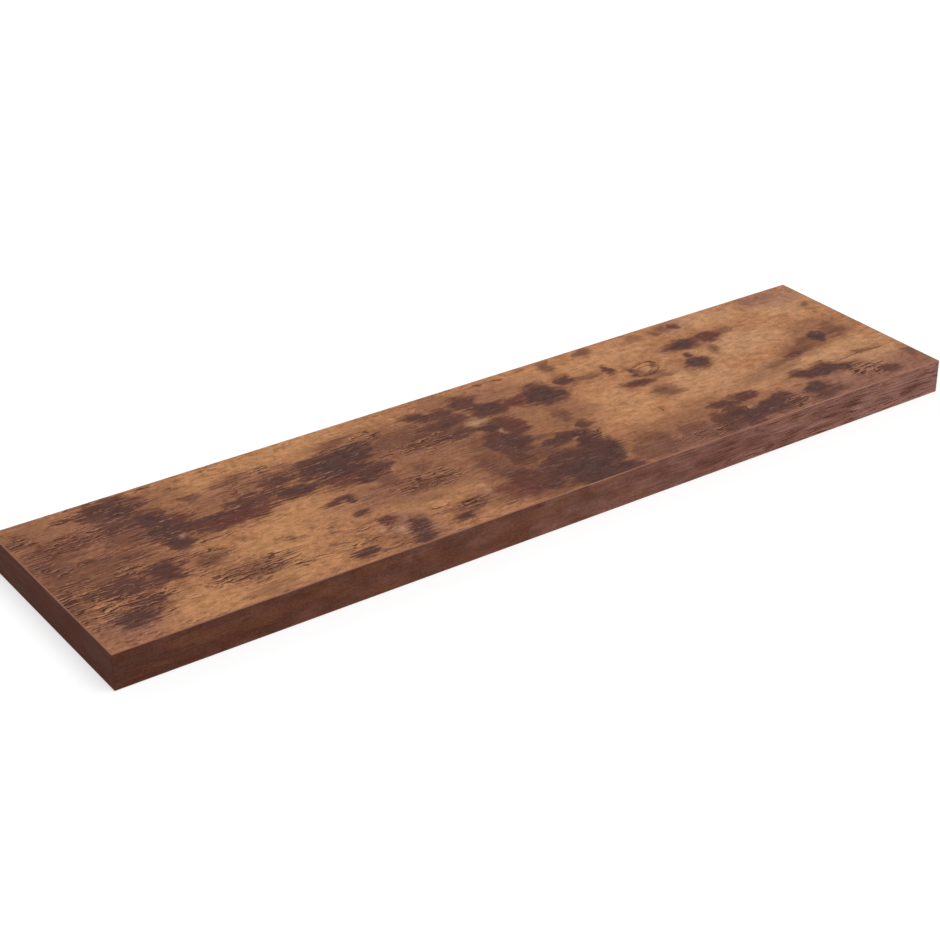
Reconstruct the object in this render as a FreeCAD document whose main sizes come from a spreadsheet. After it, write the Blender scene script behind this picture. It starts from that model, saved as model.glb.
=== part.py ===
import FreeCAD, Part
import math
import os
import Sketcher

# A floating wall shelf, as a hollow-core board that slides onto a hidden steel bracket.
#
# The board is a glued sandwich. Two thin printed fibreboard skins lie on a frame of particleboard
# rails. Expanded paper honeycomb fills the bays between the rails, and wood-print bands close the
# front and the two ends. The back stays open: behind the back rail the skins leave a slot, where the
# bracket's plate sits flush with the wall. Three rods stand on the plate and reach forward through
# the back rail into the cross rails. A grub screw under each outer rod locks the board.
#
# X runs along the shelf, +Y points to the wall and +Z up. The origin is at the middle of the
# underside. All lengths are in millimetres.

SIZES = {
    "board_length": 800.0,
    "board_depth": 200.0,
    "board_thickness": 30.0,
    "skin_thickness": 3.0,
    "band_thickness": 1.0,
    "band_edge_radius": 0.6,
    "front_rail_width": 30.0,
    "back_rail_width": 40.0,
    "end_rail_width": 40.0,
    "cross_rail_width": 50.0,
    "rod_end_distance": 150.0,
    "rod_diameter": 12.0,
    "rod_bore_gap": 0.3,
    "rod_front_gap": 16.0,
    "rod_tip_chamfer": 1.5,
    "bore_end_gap": 4.0,
    "spigot_diameter": 8.0,
    "spigot_gap": 0.05,
    "weld_leg": 2.5,
    "weld_gap": 0.5,
    "plate_thickness": 3.0,
    "plate_height": 20.0,
    "plate_end_gap": 9.0,
    "plate_front_gap": 0.5,
    "plate_corner_radius": 3.0,
    "wall_hole_diameter": 5.5,
    "wall_hole_countersink": 2.4,
    "wall_hole_end_distance": 30.0,
    "staple_wire": 1.2,
    "staple_crown": 12.0,
    "staple_leg": 10.0,
    "staple_pitch_cross": 32.0,
    "staple_pitch_end": 16.0,
    "honeycomb_cell": 20.0,
    "honeycomb_paper": 0.4,
    "honeycomb_gap": 0.5,
    "lock_screw_diameter": 6.0,
    "lock_screw_chamfer": 0.6,
    "lock_screw_cup_depth": 0.8,
    "lock_screw_recess": 2.7,
    "lock_thread_gap": 0.05,
    "lock_tip_gap": 0.3,
    "lock_socket_width": 3.0,
    "lock_socket_depth": 3.0,
    "insert_diameter": 9.0,
    "insert_gap": 0.05,
    "insert_recess": 0.2,
    "insert_top_gap": 0.7,
    "insert_groove_depth": 0.5,
    "insert_groove_width": 1.6,
}

document = FreeCAD.newDocument("floating_shelf")
sheet = document.addObject("Spreadsheet::Sheet", "sizes")


class Size:
    """A length that carries its number and the formula on the sheet's cells that gives it."""

    def __init__(self, number, formula):
        self.number = number
        self.formula = formula

    def __add__(self, other):
        return Size(self.number + other.number, f"({self.formula} + {other.formula})")

    def __sub__(self, other):
        return Size(self.number - other.number, f"({self.formula} - {other.formula})")

    def __mul__(self, factor):
        return Size(self.number * factor, f"{self.formula} * {factor!r}")

    def __truediv__(self, divisor):
        return Size(self.number / divisor, f"{self.formula} / {divisor!r}")

    def __neg__(self):
        return Size(-self.number, f"(0 - {self.formula})")


ZERO = Size(0.0, "0")


def fill_sheet():
    """Writes each driving size to a cell with its name as the alias, and returns them as sizes."""
    found = {}
    for row, (name, number) in enumerate(SIZES.items(), start=1):
        sheet.set(f"A{row}", name)
        sheet.set(f"B{row}", str(number))
        sheet.setAlias(f"B{row}", name)
        found[name] = Size(number, f"sizes.{name}")
    document.recompute()
    return found


s = fill_sheet()

# Places that several pieces share, all worked out from the sheet.
half_length = s["board_length"] / 2
half_depth = s["board_depth"] / 2
middle_height = s["board_thickness"] / 2
core_bottom = s["skin_thickness"]
core_height = s["board_thickness"] - s["skin_thickness"] * 2
core_top = core_bottom + core_height
inner_half_length = half_length - s["band_thickness"]
front_of_core = s["band_thickness"] - half_depth
front_rail_back = front_of_core + s["front_rail_width"]
plate_front = half_depth - s["plate_thickness"]
back_rail_back = plate_front - s["plate_front_gap"]
back_rail_front = back_rail_back - s["back_rail_width"]
end_rail_inside = inner_half_length - s["end_rail_width"]
rail_length = end_rail_inside * 2
cross_rail_length = back_rail_front - front_rail_back
outer_rod_place = half_length - s["rod_end_distance"]
rod_places = {"left": -outer_rod_place, "middle": ZERO, "right": outer_rod_place}
rod_radius = s["rod_diameter"] / 2
rod_length = plate_front - front_rail_back - s["rod_front_gap"]
bore_radius = rod_radius + s["rod_bore_gap"]
bore_front = front_rail_back + s["rod_front_gap"] - s["bore_end_gap"]
plate_length = (end_rail_inside - s["plate_end_gap"]) * 2
lock_place = back_rail_back - s["back_rail_width"] / 2
insert_pocket_radius = s["insert_diameter"] / 2 + s["insert_gap"]
insert_height = middle_height - bore_radius - s["insert_top_gap"] - s["insert_recess"]
lock_bore_radius = s["lock_screw_diameter"] / 2 + s["lock_thread_gap"]
lock_screw_length = middle_height - rod_radius - s["lock_tip_gap"] - s["lock_screw_recess"]


def new_body(label, x=ZERO, y=ZERO, z=ZERO):
    """An empty body whose place follows the sheet."""
    body = document.addObject("PartDesign::Body", label)
    body.Label = label
    for axis, place in zip("xyz", (x, y, z)):
        body.setExpression(f"Placement.Base.{axis}", place.formula)
    return body


def new_sketch(body, name, plane, offset=ZERO):
    """An empty sketch on one of the body's own origin planes, moved along its normal by offset."""
    sketch = body.newObject("Sketcher::SketchObject", name)
    support = next(f for f in body.Origin.OriginFeatures if f.Role == plane)
    sketch.AttachmentSupport = [(support, "")]
    sketch.MapMode = "FlatFace"
    sketch.setExpression("AttachmentOffset.Base.z", offset.formula)
    return sketch


def tie(sketch, geometry, point, across, up):
    """Ties one point of the sketch to its place: across and up from the sketch's origin."""
    for kind, place, axis in (("DistanceX", across, -2), ("DistanceY", up, -1)):
        if place is ZERO:
            sketch.addConstraint(Sketcher.Constraint("PointOnObject", geometry, point, axis))
            continue
        number = sketch.addConstraint(
            Sketcher.Constraint(kind, -1, 1, geometry, point, place.number)
        )
        sketch.setExpression(f"Constraints[{number}]", place.formula)


def draw_outline(sketch, points):
    """Draws a closed outline of straight lines through points, each tied to its place."""
    first = sketch.GeometryCount
    count = len(points)
    places = [FreeCAD.Vector(across.number, up.number, 0) for across, up in points]
    for i in range(count):
        sketch.addGeometry(Part.LineSegment(places[i], places[(i + 1) % count]), False)
    for i in range(count):
        following = first + (i + 1) % count
        sketch.addConstraint(Sketcher.Constraint("Coincident", first + i, 2, following, 1))
    for i, (across, up) in enumerate(points):
        tie(sketch, first + i, 1, across, up)


def draw_circle(sketch, across, up, radius):
    """Draws a circle with its centre and its radius tied to the sheet."""
    centre = FreeCAD.Vector(across.number, up.number, 0)
    circle = Part.Circle(centre, FreeCAD.Vector(0, 0, 1), radius.number)
    geometry = sketch.addGeometry(circle, False)
    tie(sketch, geometry, 3, across, up)
    number = sketch.addConstraint(Sketcher.Constraint("Radius", geometry, radius.number))
    sketch.setExpression(f"Constraints[{number}]", radius.formula)


def rectangle(width, height, left=ZERO, bottom=ZERO):
    """The four corners of a rectangle, anticlockwise from the lower left one."""
    right = left + width
    top = bottom + height
    return [(left, bottom), (right, bottom), (right, top), (left, top)]


def plank(label, width, depth, height, x, y, z):
    """A body padded up from a rectangle: width along X, depth along Y, height along Z."""
    body = new_body(label, x, y, z)
    sketch = new_sketch(body, f"{label}_outline", "XY_Plane")
    draw_outline(sketch, rectangle(width, depth))
    pad = body.newObject("PartDesign::Pad", f"{label}_pad")
    pad.Profile = sketch
    pad.setExpression("Length", height.formula)
    document.recompute()
    return body


def turned(label, plane, points, x=ZERO, y=ZERO, z=ZERO):
    """A body turned from an outline about the sketch's upright axis."""
    body = new_body(label, x, y, z)
    sketch = new_sketch(body, f"{label}_outline", plane)
    draw_outline(sketch, points)
    turn = body.newObject("PartDesign::Revolution", f"{label}_turn")
    turn.Profile = sketch
    turn.ReferenceAxis = (sketch, ["V_Axis"])
    turn.Angle = 360
    document.recompute()
    return body


def cut_pocket(body, sketch, depth, backwards=False):
    """Cuts the sketch into the body and makes sure that it took material away."""
    before = body.Shape.Volume
    pocket = body.newObject("PartDesign::Pocket", f"{sketch.Name}_cut")
    pocket.Profile = sketch
    pocket.Reversed = backwards
    pocket.setExpression("Length", depth.formula)
    document.recompute()
    if body.Shape.Volume >= before:
        raise RuntimeError(f"{pocket.Name} cuts nothing")
    return pocket


def dress_edges(body, kind, size_name, size, chosen):
    """Rounds or chamfers the edges of the body's tip that chosen picks."""
    tip = body.Tip
    names = [f"Edge{i}" for i, edge in enumerate(tip.Shape.Edges, start=1) if chosen(edge)]
    dressing = body.newObject(f"PartDesign::{kind}", f"{body.Name}_{kind.lower()}")
    dressing.Base = (tip, names)
    dressing.setExpression(size_name, size.formula)
    document.recompute()
    return dressing


# Edges are picked by their place, to within this share of the bands' small edge radius.
PICKING_SHARE = 0.01
near = s["band_edge_radius"].number * PICKING_SHARE


def circle_edges_at(y, radius):
    """Picks the round edges of one radius that lie in the plane at y of the body's own frame."""

    def chosen(edge):
        return (
            isinstance(edge.Curve, Part.Circle)
            and abs(edge.Curve.Radius - radius.number) < near
            and abs(edge.CenterOfMass.y - y.number) < near
        )

    return chosen


def skins():
    """The two printed fibreboard skins. The lower one has the holes of the lock inserts."""
    width = inner_half_length * 2
    depth = half_depth - front_of_core
    thickness = s["skin_thickness"]
    top = plank("top_panel", width, depth, thickness, -inner_half_length, front_of_core, core_top)
    bottom = plank("bottom_panel", width, depth, thickness, -inner_half_length, front_of_core, ZERO)
    holes = new_sketch(bottom, "bottom_panel_insert_holes", "XY_Plane")
    for side in ("left", "right"):
        across = rod_places[side] + inner_half_length
        draw_circle(holes, across, lock_place - front_of_core, insert_pocket_radius)
    cut_pocket(bottom, holes, thickness, backwards=True)
    return [top, bottom]


def edge_bands():
    """The wood-print bands. The front band runs over the ends of the two end bands."""
    radius = s["band_edge_radius"]
    thickness = s["band_thickness"]
    height = s["board_thickness"]
    front = plank("front_edge_band", s["board_length"], thickness, height, -half_length, -half_depth, ZERO)
    dress_edges(
        front, "Fillet", "Radius", radius, lambda e: e.CenterOfMass.y < thickness.number - near
    )
    made = [front]
    depth = half_depth - front_of_core
    for side, x, outside in (
        ("left", -half_length, ZERO),
        ("right", inner_half_length, thickness),
    ):
        band = plank(f"{side}_edge_band", thickness, depth, height, x, front_of_core, ZERO)

        def outer_edge(edge, outside=outside):
            centre = edge.CenterOfMass
            return abs(centre.x - outside.number) < near and centre.y > near

        dress_edges(band, "Fillet", "Radius", radius, outer_edge)
        made.append(band)
    return made


def front_rail():
    """The particleboard rail behind the front band."""
    return plank(
        "front_rail_blank",
        rail_length,
        s["front_rail_width"],
        core_height,
        -end_rail_inside,
        front_of_core,
        core_bottom,
    )


def back_rail():
    """The rail that carries the load: three bores for the rods and two pockets for the inserts."""
    width = s["back_rail_width"]
    body = plank(
        "back_rail_blank",
        rail_length,
        width,
        core_height,
        -end_rail_inside,
        back_rail_front,
        core_bottom,
    )
    bores = new_sketch(body, "back_rail_bores", "XZ_Plane")
    for place in rod_places.values():
        draw_circle(bores, place + end_rail_inside, core_height / 2, bore_radius)
    cut_pocket(body, bores, width)
    mouth = s["weld_leg"] + s["weld_gap"]
    dress_edges(body, "Chamfer", "Size", mouth, circle_edges_at(width, bore_radius))
    pockets = new_sketch(body, "back_rail_insert_pockets", "XY_Plane")
    clearances = new_sketch(body, "back_rail_screw_holes", "XY_Plane")
    for side in ("left", "right"):
        across = rod_places[side] + end_rail_inside
        draw_circle(pockets, across, lock_place - back_rail_front, insert_pocket_radius)
        draw_circle(clearances, across, lock_place - back_rail_front, lock_bore_radius)
    pocket_depth = insert_height + s["insert_recess"] - core_bottom
    cut_pocket(body, pockets, pocket_depth, backwards=True)
    cut_pocket(body, clearances, core_height / 2, backwards=True)
    return body


def end_rails():
    """The two rails at the ends, which also close the bracket's slot."""
    depth = half_depth - front_of_core
    width = s["end_rail_width"]
    places = {"left": -inner_half_length, "right": end_rail_inside}
    return [
        plank(f"{side}_end_rail_blank", width, depth, core_height, x, front_of_core, core_bottom)
        for side, x in places.items()
    ]


def cross_rails():
    """The three rails from front to back, each with a blind bore for its rod."""
    made = []
    width = s["cross_rail_width"]
    for side, place in rod_places.items():
        body = plank(
            f"{side}_cross_rail_blank",
            width,
            cross_rail_length,
            core_height,
            place - width / 2,
            front_rail_back,
            core_bottom,
        )
        bore = new_sketch(body, f"{side}_cross_rail_bore", "XZ_Plane", -cross_rail_length)
        draw_circle(bore, width / 2, core_height / 2, bore_radius)
        cut_pocket(body, bore, back_rail_front - bore_front, backwards=True)
        made.append(body)
    return made


def staple_places():
    """The middle of each staple's crown, and whether the crown runs along X."""
    places = []
    along_end = [
        front_rail_back.number - s["front_rail_width"].number / 2,
        back_rail_back.number - s["back_rail_width"].number / 2,
    ]
    half_end_pitch = s["staple_pitch_end"].number / 2
    for x in (-end_rail_inside.number, end_rail_inside.number):
        for y in along_end:
            for shift in (-half_end_pitch, half_end_pitch):
                places.append((x, y + shift, True))
    half_cross_pitch = s["staple_pitch_cross"].number / 2
    for place in rod_places.values():
        for y in (front_rail_back.number, back_rail_front.number):
            for shift in (-half_cross_pitch, half_cross_pitch):
                places.append((place.number + shift, y, False))
    return places


def frame_staples():
    """The wire staples that hold the rails together, shot in flush with the rails' tops."""
    wire = s["staple_wire"]
    half_crown = s["staple_crown"] / 2
    leg = s["staple_leg"]
    inner = half_crown - wire
    blank = new_body("staple_blank")
    sketch = new_sketch(blank, "staple_outline", "XZ_Plane")
    outline = [
        (-half_crown, -leg),
        (-inner, -leg),
        (-inner, -wire),
        (inner, -wire),
        (inner, -leg),
        (half_crown, -leg),
        (half_crown, ZERO),
        (-half_crown, ZERO),
    ]
    draw_outline(sketch, outline)
    pad = blank.newObject("PartDesign::Pad", "staple_pad")
    pad.Profile = sketch
    pad.setExpression("Length", wire.formula)
    pad.Midplane = True
    document.recompute()
    placed = []
    for x, y, along_x in staple_places():
        turn = FreeCAD.Rotation(FreeCAD.Vector(0, 0, 1), 0 if along_x else 90)
        copy = blank.Shape.copy()
        copy.Placement = FreeCAD.Placement(FreeCAD.Vector(x, y, core_top.number), turn)
        placed.append(copy)
    staples = document.addObject("Part::Feature", "frame_staples")
    staples.Shape = Part.makeCompound(placed)
    return staples


def stapled(blank, staples):
    """The rail with the room that the staples take in it, under the rail's own name."""
    name = blank.Name.removesuffix("_blank")
    rail = document.addObject("Part::Cut", name)
    rail.Base = blank
    rail.Tool = staples
    return rail


def polygon_face(points):
    """A flat face with straight sides through points."""
    wire = Part.makePolygon([*points, points[0]])
    return Part.Face(wire)


def honeycomb_sheet(label, left, right):
    """Expanded paper honeycomb that fills one bay, cut to size with a whole strip round it."""
    gap = s["honeycomb_gap"].number
    paper = s["honeycomb_paper"].number
    cell = s["honeycomb_cell"].number
    width = right.number - left.number - 2 * gap
    depth = cross_rail_length.number - 2 * gap
    row_step = cell * math.sqrt(3) / 2
    corner_radius = (cell - paper) / math.sqrt(3)
    corner_angles = [math.pi / 6 + i * math.pi / 3 for i in range(6)]

    def box_face(inset):
        plane_width, plane_depth = width - 2 * inset, depth - 2 * inset
        return Part.makePlane(plane_width, plane_depth, FreeCAD.Vector(inset, inset, 0))

    inside = box_face(paper)
    cells = []
    for row in range(math.ceil(depth / row_step) + 1):
        for column in range(math.ceil(width / cell) + 1):
            x = (column + (row % 2) / 2) * cell
            y = row * row_step
            corners = [
                FreeCAD.Vector(
                    x + corner_radius * math.cos(a), y + corner_radius * math.sin(a), 0
                )
                for a in corner_angles
            ]
            opening = polygon_face(corners).common(inside)
            cells.extend(f for f in opening.Faces if f.Area > paper * cell)
    walls = box_face(0).cut(Part.makeCompound(cells))
    solid = walls.Faces[0].extrude(FreeCAD.Vector(0, 0, core_height.number))
    honeycomb = document.addObject("Part::Feature", label)
    honeycomb.Shape = solid
    place = FreeCAD.Vector(left.number + gap, front_rail_back.number + gap, core_bottom.number)
    honeycomb.Placement = FreeCAD.Placement(place, FreeCAD.Rotation())
    return honeycomb


def honeycombs():
    """One sheet of honeycomb in each of the four bays, from left to right."""
    half_cross = s["cross_rail_width"] / 2
    stops = [-end_rail_inside]
    for place in rod_places.values():
        stops += [place - half_cross, place + half_cross]
    stops.append(end_rail_inside)
    return [
        honeycomb_sheet(f"honeycomb_bay_{bay + 1}", stops[2 * bay], stops[2 * bay + 1])
        for bay in range(len(stops) // 2)
    ]


def wall_hole_places():
    """The screw holes of the plate: one pair midway between the rods and one pair near its ends."""
    outer = plate_length / 2 - s["wall_hole_end_distance"]
    inner = outer_rod_place / 2
    return [-outer, -inner, inner, outer]


def wall_plate():
    """The bracket's steel plate, with countersunk screw holes and a seat for each rod's spigot."""
    thickness = s["plate_thickness"]
    height = s["plate_height"]
    body = plank(
        "wall_plate",
        plate_length,
        thickness,
        height,
        -plate_length / 2,
        plate_front,
        middle_height - height / 2,
    )
    holes = new_sketch(body, "wall_plate_screw_holes", "XZ_Plane")
    hole_radius = s["wall_hole_diameter"] / 2
    for place in wall_hole_places():
        draw_circle(holes, place + plate_length / 2, height / 2, hole_radius)
    cut_pocket(body, holes, thickness)
    countersink = s["wall_hole_countersink"]
    dress_edges(body, "Chamfer", "Size", countersink, circle_edges_at(ZERO, hole_radius))
    seats = new_sketch(body, "wall_plate_rod_seats", "XZ_Plane")
    for place in rod_places.values():
        seat_radius = s["spigot_diameter"] / 2 + s["spigot_gap"]
        draw_circle(seats, place + plate_length / 2, height / 2, seat_radius)
    cut_pocket(body, seats, thickness)

    def corner_edge(edge):
        straight = isinstance(edge.Curve, Part.Line)
        return straight and abs(edge.tangentAt(edge.FirstParameter).y) > 1 - PICKING_SHARE

    dress_edges(body, "Fillet", "Radius", s["plate_corner_radius"], corner_edge)
    return body


def rods():
    """The three steel rods, each with a spigot through the plate and a chamfered tip."""
    spigot = s["spigot_diameter"] / 2
    chamfer = s["rod_tip_chamfer"]
    thickness = s["plate_thickness"]
    outline = [
        (ZERO, thickness),
        (ZERO, -rod_length),
        (rod_radius - chamfer, -rod_length),
        (rod_radius, chamfer - rod_length),
        (rod_radius, ZERO),
        (spigot, ZERO),
        (spigot, thickness),
    ]
    return [
        turned(f"{side}_rod", "XY_Plane", outline, place, plate_front, middle_height)
        for side, place in rod_places.items()
    ]


def rod_welds():
    """A bead of weld round the foot of each rod."""
    leg = s["weld_leg"]
    outline = [(rod_radius, ZERO), (rod_radius, -leg), (rod_radius + leg, ZERO)]
    blank = turned("weld_blank", "XY_Plane", outline)
    placed = []
    for place in rod_places.values():
        copy = blank.Shape.copy()
        copy.Placement = FreeCAD.Placement(
            FreeCAD.Vector(place.number, plate_front.number, middle_height.number),
            FreeCAD.Rotation(),
        )
        placed.append(copy)
    welds = document.addObject("Part::Feature", "rod_welds")
    welds.Shape = Part.makeCompound(placed)
    return welds


def lock_inserts():
    """The brass inserts that the lock screws turn in, with a ring groove that keeps them in."""
    outer = s["insert_diameter"] / 2
    waist = outer - s["insert_groove_depth"]
    groove_low = insert_height / 2 - s["insert_groove_width"] / 2
    groove_high = groove_low + s["insert_groove_width"]
    outline = [
        (lock_bore_radius, ZERO),
        (outer, ZERO),
        (outer, groove_low),
        (waist, groove_low),
        (waist, groove_high),
        (outer, groove_high),
        (outer, insert_height),
        (lock_bore_radius, insert_height),
    ]
    return [
        turned(
            f"{side}_lock_insert",
            "XZ_Plane",
            outline,
            rod_places[side],
            lock_place,
            s["insert_recess"],
        )
        for side in ("left", "right")
    ]


def lock_screws():
    """The grub screws: a cupped tip under the rod and a hexagon socket that opens downwards."""
    radius = s["lock_screw_diameter"] / 2
    chamfer = s["lock_screw_chamfer"]
    length = lock_screw_length
    outline = [
        (ZERO, ZERO),
        (radius - chamfer, ZERO),
        (radius, chamfer),
        (radius, length - chamfer),
        (radius - chamfer, length),
        (ZERO, length - s["lock_screw_cup_depth"]),
    ]
    socket_radius = s["lock_socket_width"] / math.sqrt(3)
    hexagon = []
    for corner in range(6):
        angle = corner * math.pi / 3
        hexagon.append((socket_radius * math.cos(angle), socket_radius * math.sin(angle)))
    made = []
    for side in ("left", "right"):
        body = turned(
            f"{side}_lock_screw",
            "XZ_Plane",
            outline,
            rod_places[side],
            lock_place,
            s["lock_screw_recess"],
        )
        socket = new_sketch(body, f"{side}_lock_screw_socket", "XY_Plane")
        draw_outline(socket, hexagon)
        cut_pocket(body, socket, s["lock_socket_depth"], backwards=True)
        made.append(body)
    return made


def build():
    """Makes every piece of the shelf and returns them in one list."""
    staples = frame_staples()
    blanks = [front_rail(), back_rail(), *end_rails(), *cross_rails()]
    pieces = [*skins(), *edge_bands()]
    pieces += [stapled(blank, staples) for blank in blanks]
    pieces += [staples, *honeycombs(), wall_plate(), *rods(), rod_welds()]
    pieces += [*lock_inserts(), *lock_screws()]
    document.recompute()
    return pieces


def check_and_write(pieces):
    """Stops on any failed object or bad shape, then writes one file for each piece."""
    for made in document.Objects:
        if "Invalid" in made.State or "Error" in made.State:
            raise RuntimeError(f"{made.Label} failed: {made.State}")
    for piece in pieces:
        if piece.Shape.isNull() or not piece.Shape.isValid() or piece.Shape.Volume <= 0:
            raise RuntimeError(f"{piece.Label} has no sound shape")
    os.makedirs("parts", exist_ok=True)
    for piece in pieces:
        piece.Shape.exportStep(os.path.join("parts", f"{piece.Label}.step"))
        box = piece.Shape.BoundBox
        print(
            f"{piece.Label}: {box.XLength:.1f} x {box.YLength:.1f} x {box.ZLength:.1f} mm, "
            f"{piece.Shape.Volume / 1000:.2f} cm3, {len(piece.Shape.Solids)} solids"
        )


check_and_write(build())
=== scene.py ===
"""Floating wall shelf: the finish of every piece, the light and the camera.

The board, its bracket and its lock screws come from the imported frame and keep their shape.
This file gives each of them its material, lays the weld beads round the rods' feet, and sets
the floor, the lamps and the camera.
"""

import math

import bpy
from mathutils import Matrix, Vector


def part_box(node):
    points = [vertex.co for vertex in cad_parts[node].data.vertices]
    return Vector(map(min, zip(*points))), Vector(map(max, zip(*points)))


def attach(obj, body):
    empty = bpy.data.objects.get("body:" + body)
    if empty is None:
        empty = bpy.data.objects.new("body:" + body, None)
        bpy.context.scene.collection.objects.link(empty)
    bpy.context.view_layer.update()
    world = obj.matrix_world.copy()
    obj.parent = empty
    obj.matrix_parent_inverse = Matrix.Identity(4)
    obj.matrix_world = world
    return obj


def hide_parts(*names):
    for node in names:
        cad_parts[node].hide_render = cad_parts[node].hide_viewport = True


bl_info = {
    "name": "Floating Wall Shelf",
    "version": (1, 0, 0),
    "blender": (4, 5, 0),
    "location": "3D View > Sidebar > Wall Shelf",
    "description": "Finishes a floating wall shelf with a rustic wood print and lights it",
    "category": "Material",
}

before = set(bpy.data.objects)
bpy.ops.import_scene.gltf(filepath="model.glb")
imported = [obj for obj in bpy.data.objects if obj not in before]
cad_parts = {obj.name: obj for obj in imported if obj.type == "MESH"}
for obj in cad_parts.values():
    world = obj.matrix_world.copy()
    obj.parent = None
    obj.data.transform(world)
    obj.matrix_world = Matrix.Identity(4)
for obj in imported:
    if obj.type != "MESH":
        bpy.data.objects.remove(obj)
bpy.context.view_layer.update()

MM = 0.001
PER_MM = 1000.0

# Where the board's faces are, from the frame
BOARD_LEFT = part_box("front_edge_band")[0].x
BOARD_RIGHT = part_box("front_edge_band")[1].x
BOARD_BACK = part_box("top_panel")[1].y
BOARD_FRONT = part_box("front_edge_band")[0].y
BOARD_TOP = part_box("top_panel")[1].z
BOARD_LENGTH = BOARD_RIGHT - BOARD_LEFT
RODS = ("left_rod", "middle_rod", "right_rod")

# Weld beads: points round the rod and across the face, coins laid, how far each coin's
# middle runs ahead, and sizes in metres
BEAD_STEPS = 208
BEAD_ROWS = 9
BEAD_RIPPLES = 26
BEAD_SKEW = 0.6
BEAD_CROWN = 0.22 * MM
BEAD_RIPPLE = 0.3 * MM
BEAD_SINK = 0.3 * MM

# The wood print's figure, in millimetres. X runs along the grain from the board's left end,
# Y across it from the back edge. Each spot is: X, Y, half length, half width, turn in degrees.
DARK_SPOTS = (
    (84, 14, 15, 10, 0),
    (96, 27, 13, 11, 0),
    (106, 50, 14, 12, 0),
    (112, 70, 22, 13, 0),
    (112, 90, 12, 12, 0),
    (150, 80, 44, 10, 0),
    (80, 124, 16, 15, 0),
    (40, 166, 18, 11, -8),
    (222, 76, 21, 11, 0),
    (256, 56, 24, 17, 0),
    (272, 66, 26, 24, 0),
    (292, 50, 19, 16, 0),
    (276, 86, 15, 10, 0),
    (367, 27, 10, 9, 0),
    (424, 50, 20, 13, 0),
    (477, 52, 19, 18, 0),
    (406, 78, 10, 12, 0),
    (408, 106, 18, 16, 0),
    (448, 126, 22, 9, 0),
    (432, 168, 40, 26, 0),
    (440, 190, 36, 14, 0),
    (462, 150, 15, 26, 0),
    (249, 111, 8, 6, 0),
    (268, 182, 9, 19, 22),
    (217, 187, 9, 7, 0),
    (308, 184, 9, 5, 0),
    (391, 182, 14, 9, 0),
    (700, 155, 27, 10, 6),
    (727, 160, 12, 6, 0),
    (678, 177, 15, 10, 0),
    (592, 182, 15, 18, 0),
    (622, 182, 28, 13, 0),
    (640, 171, 14, 6, 0),
)
DUSKY_SPOTS = (
    (90, 20, 24, 19, 0),
    (100, 42, 22, 10, 0),
    (382, 168, 18, 22, 0),
    (70, 20, 10, 6, 0),
    (84, 48, 19, 12, 0),
    (128, 61, 16, 6, 0),
    (190, 69, 26, 11, 0),
    (156, 88, 38, 8, 0),
    (48, 126, 24, 13, 0),
    (54, 152, 16, 9, 0),
    (216, 55, 20, 8, 0),
    (290, 80, 14, 14, 0),
    (378, 50, 26, 12, 0),
    (380, 70, 24, 9, 0),
    (386, 33, 12, 8, 0),
    (396, 118, 13, 44, 0),
    (415, 30, 14, 12, 0),
    (450, 50, 12, 9, 0),
    (420, 84, 14, 22, 0),
    (473, 116, 8, 8, 0),
    (256, 155, 9, 5, 0),
    (244, 135, 6, 4, 0),
    (238, 108, 9, 4, 0),
    (572, 182, 12, 18, 0),
    (590, 154, 16, 6, 0),
    (666, 47, 14, 8, 0),
    (704, 118, 9, 4, -14),
    (684, 190, 20, 8, 0),
    (755, 187, 10, 8, 0),
    (655, 12, 5, 6, 0),
    (509, 44, 8, 9, 0),
    (549, 50, 4, 8, 0),
    (626, 65, 4, 4, 0),
    (5, 122, 7, 7, 0),
    (53, 15, 7, 3, 0),
)
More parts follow.
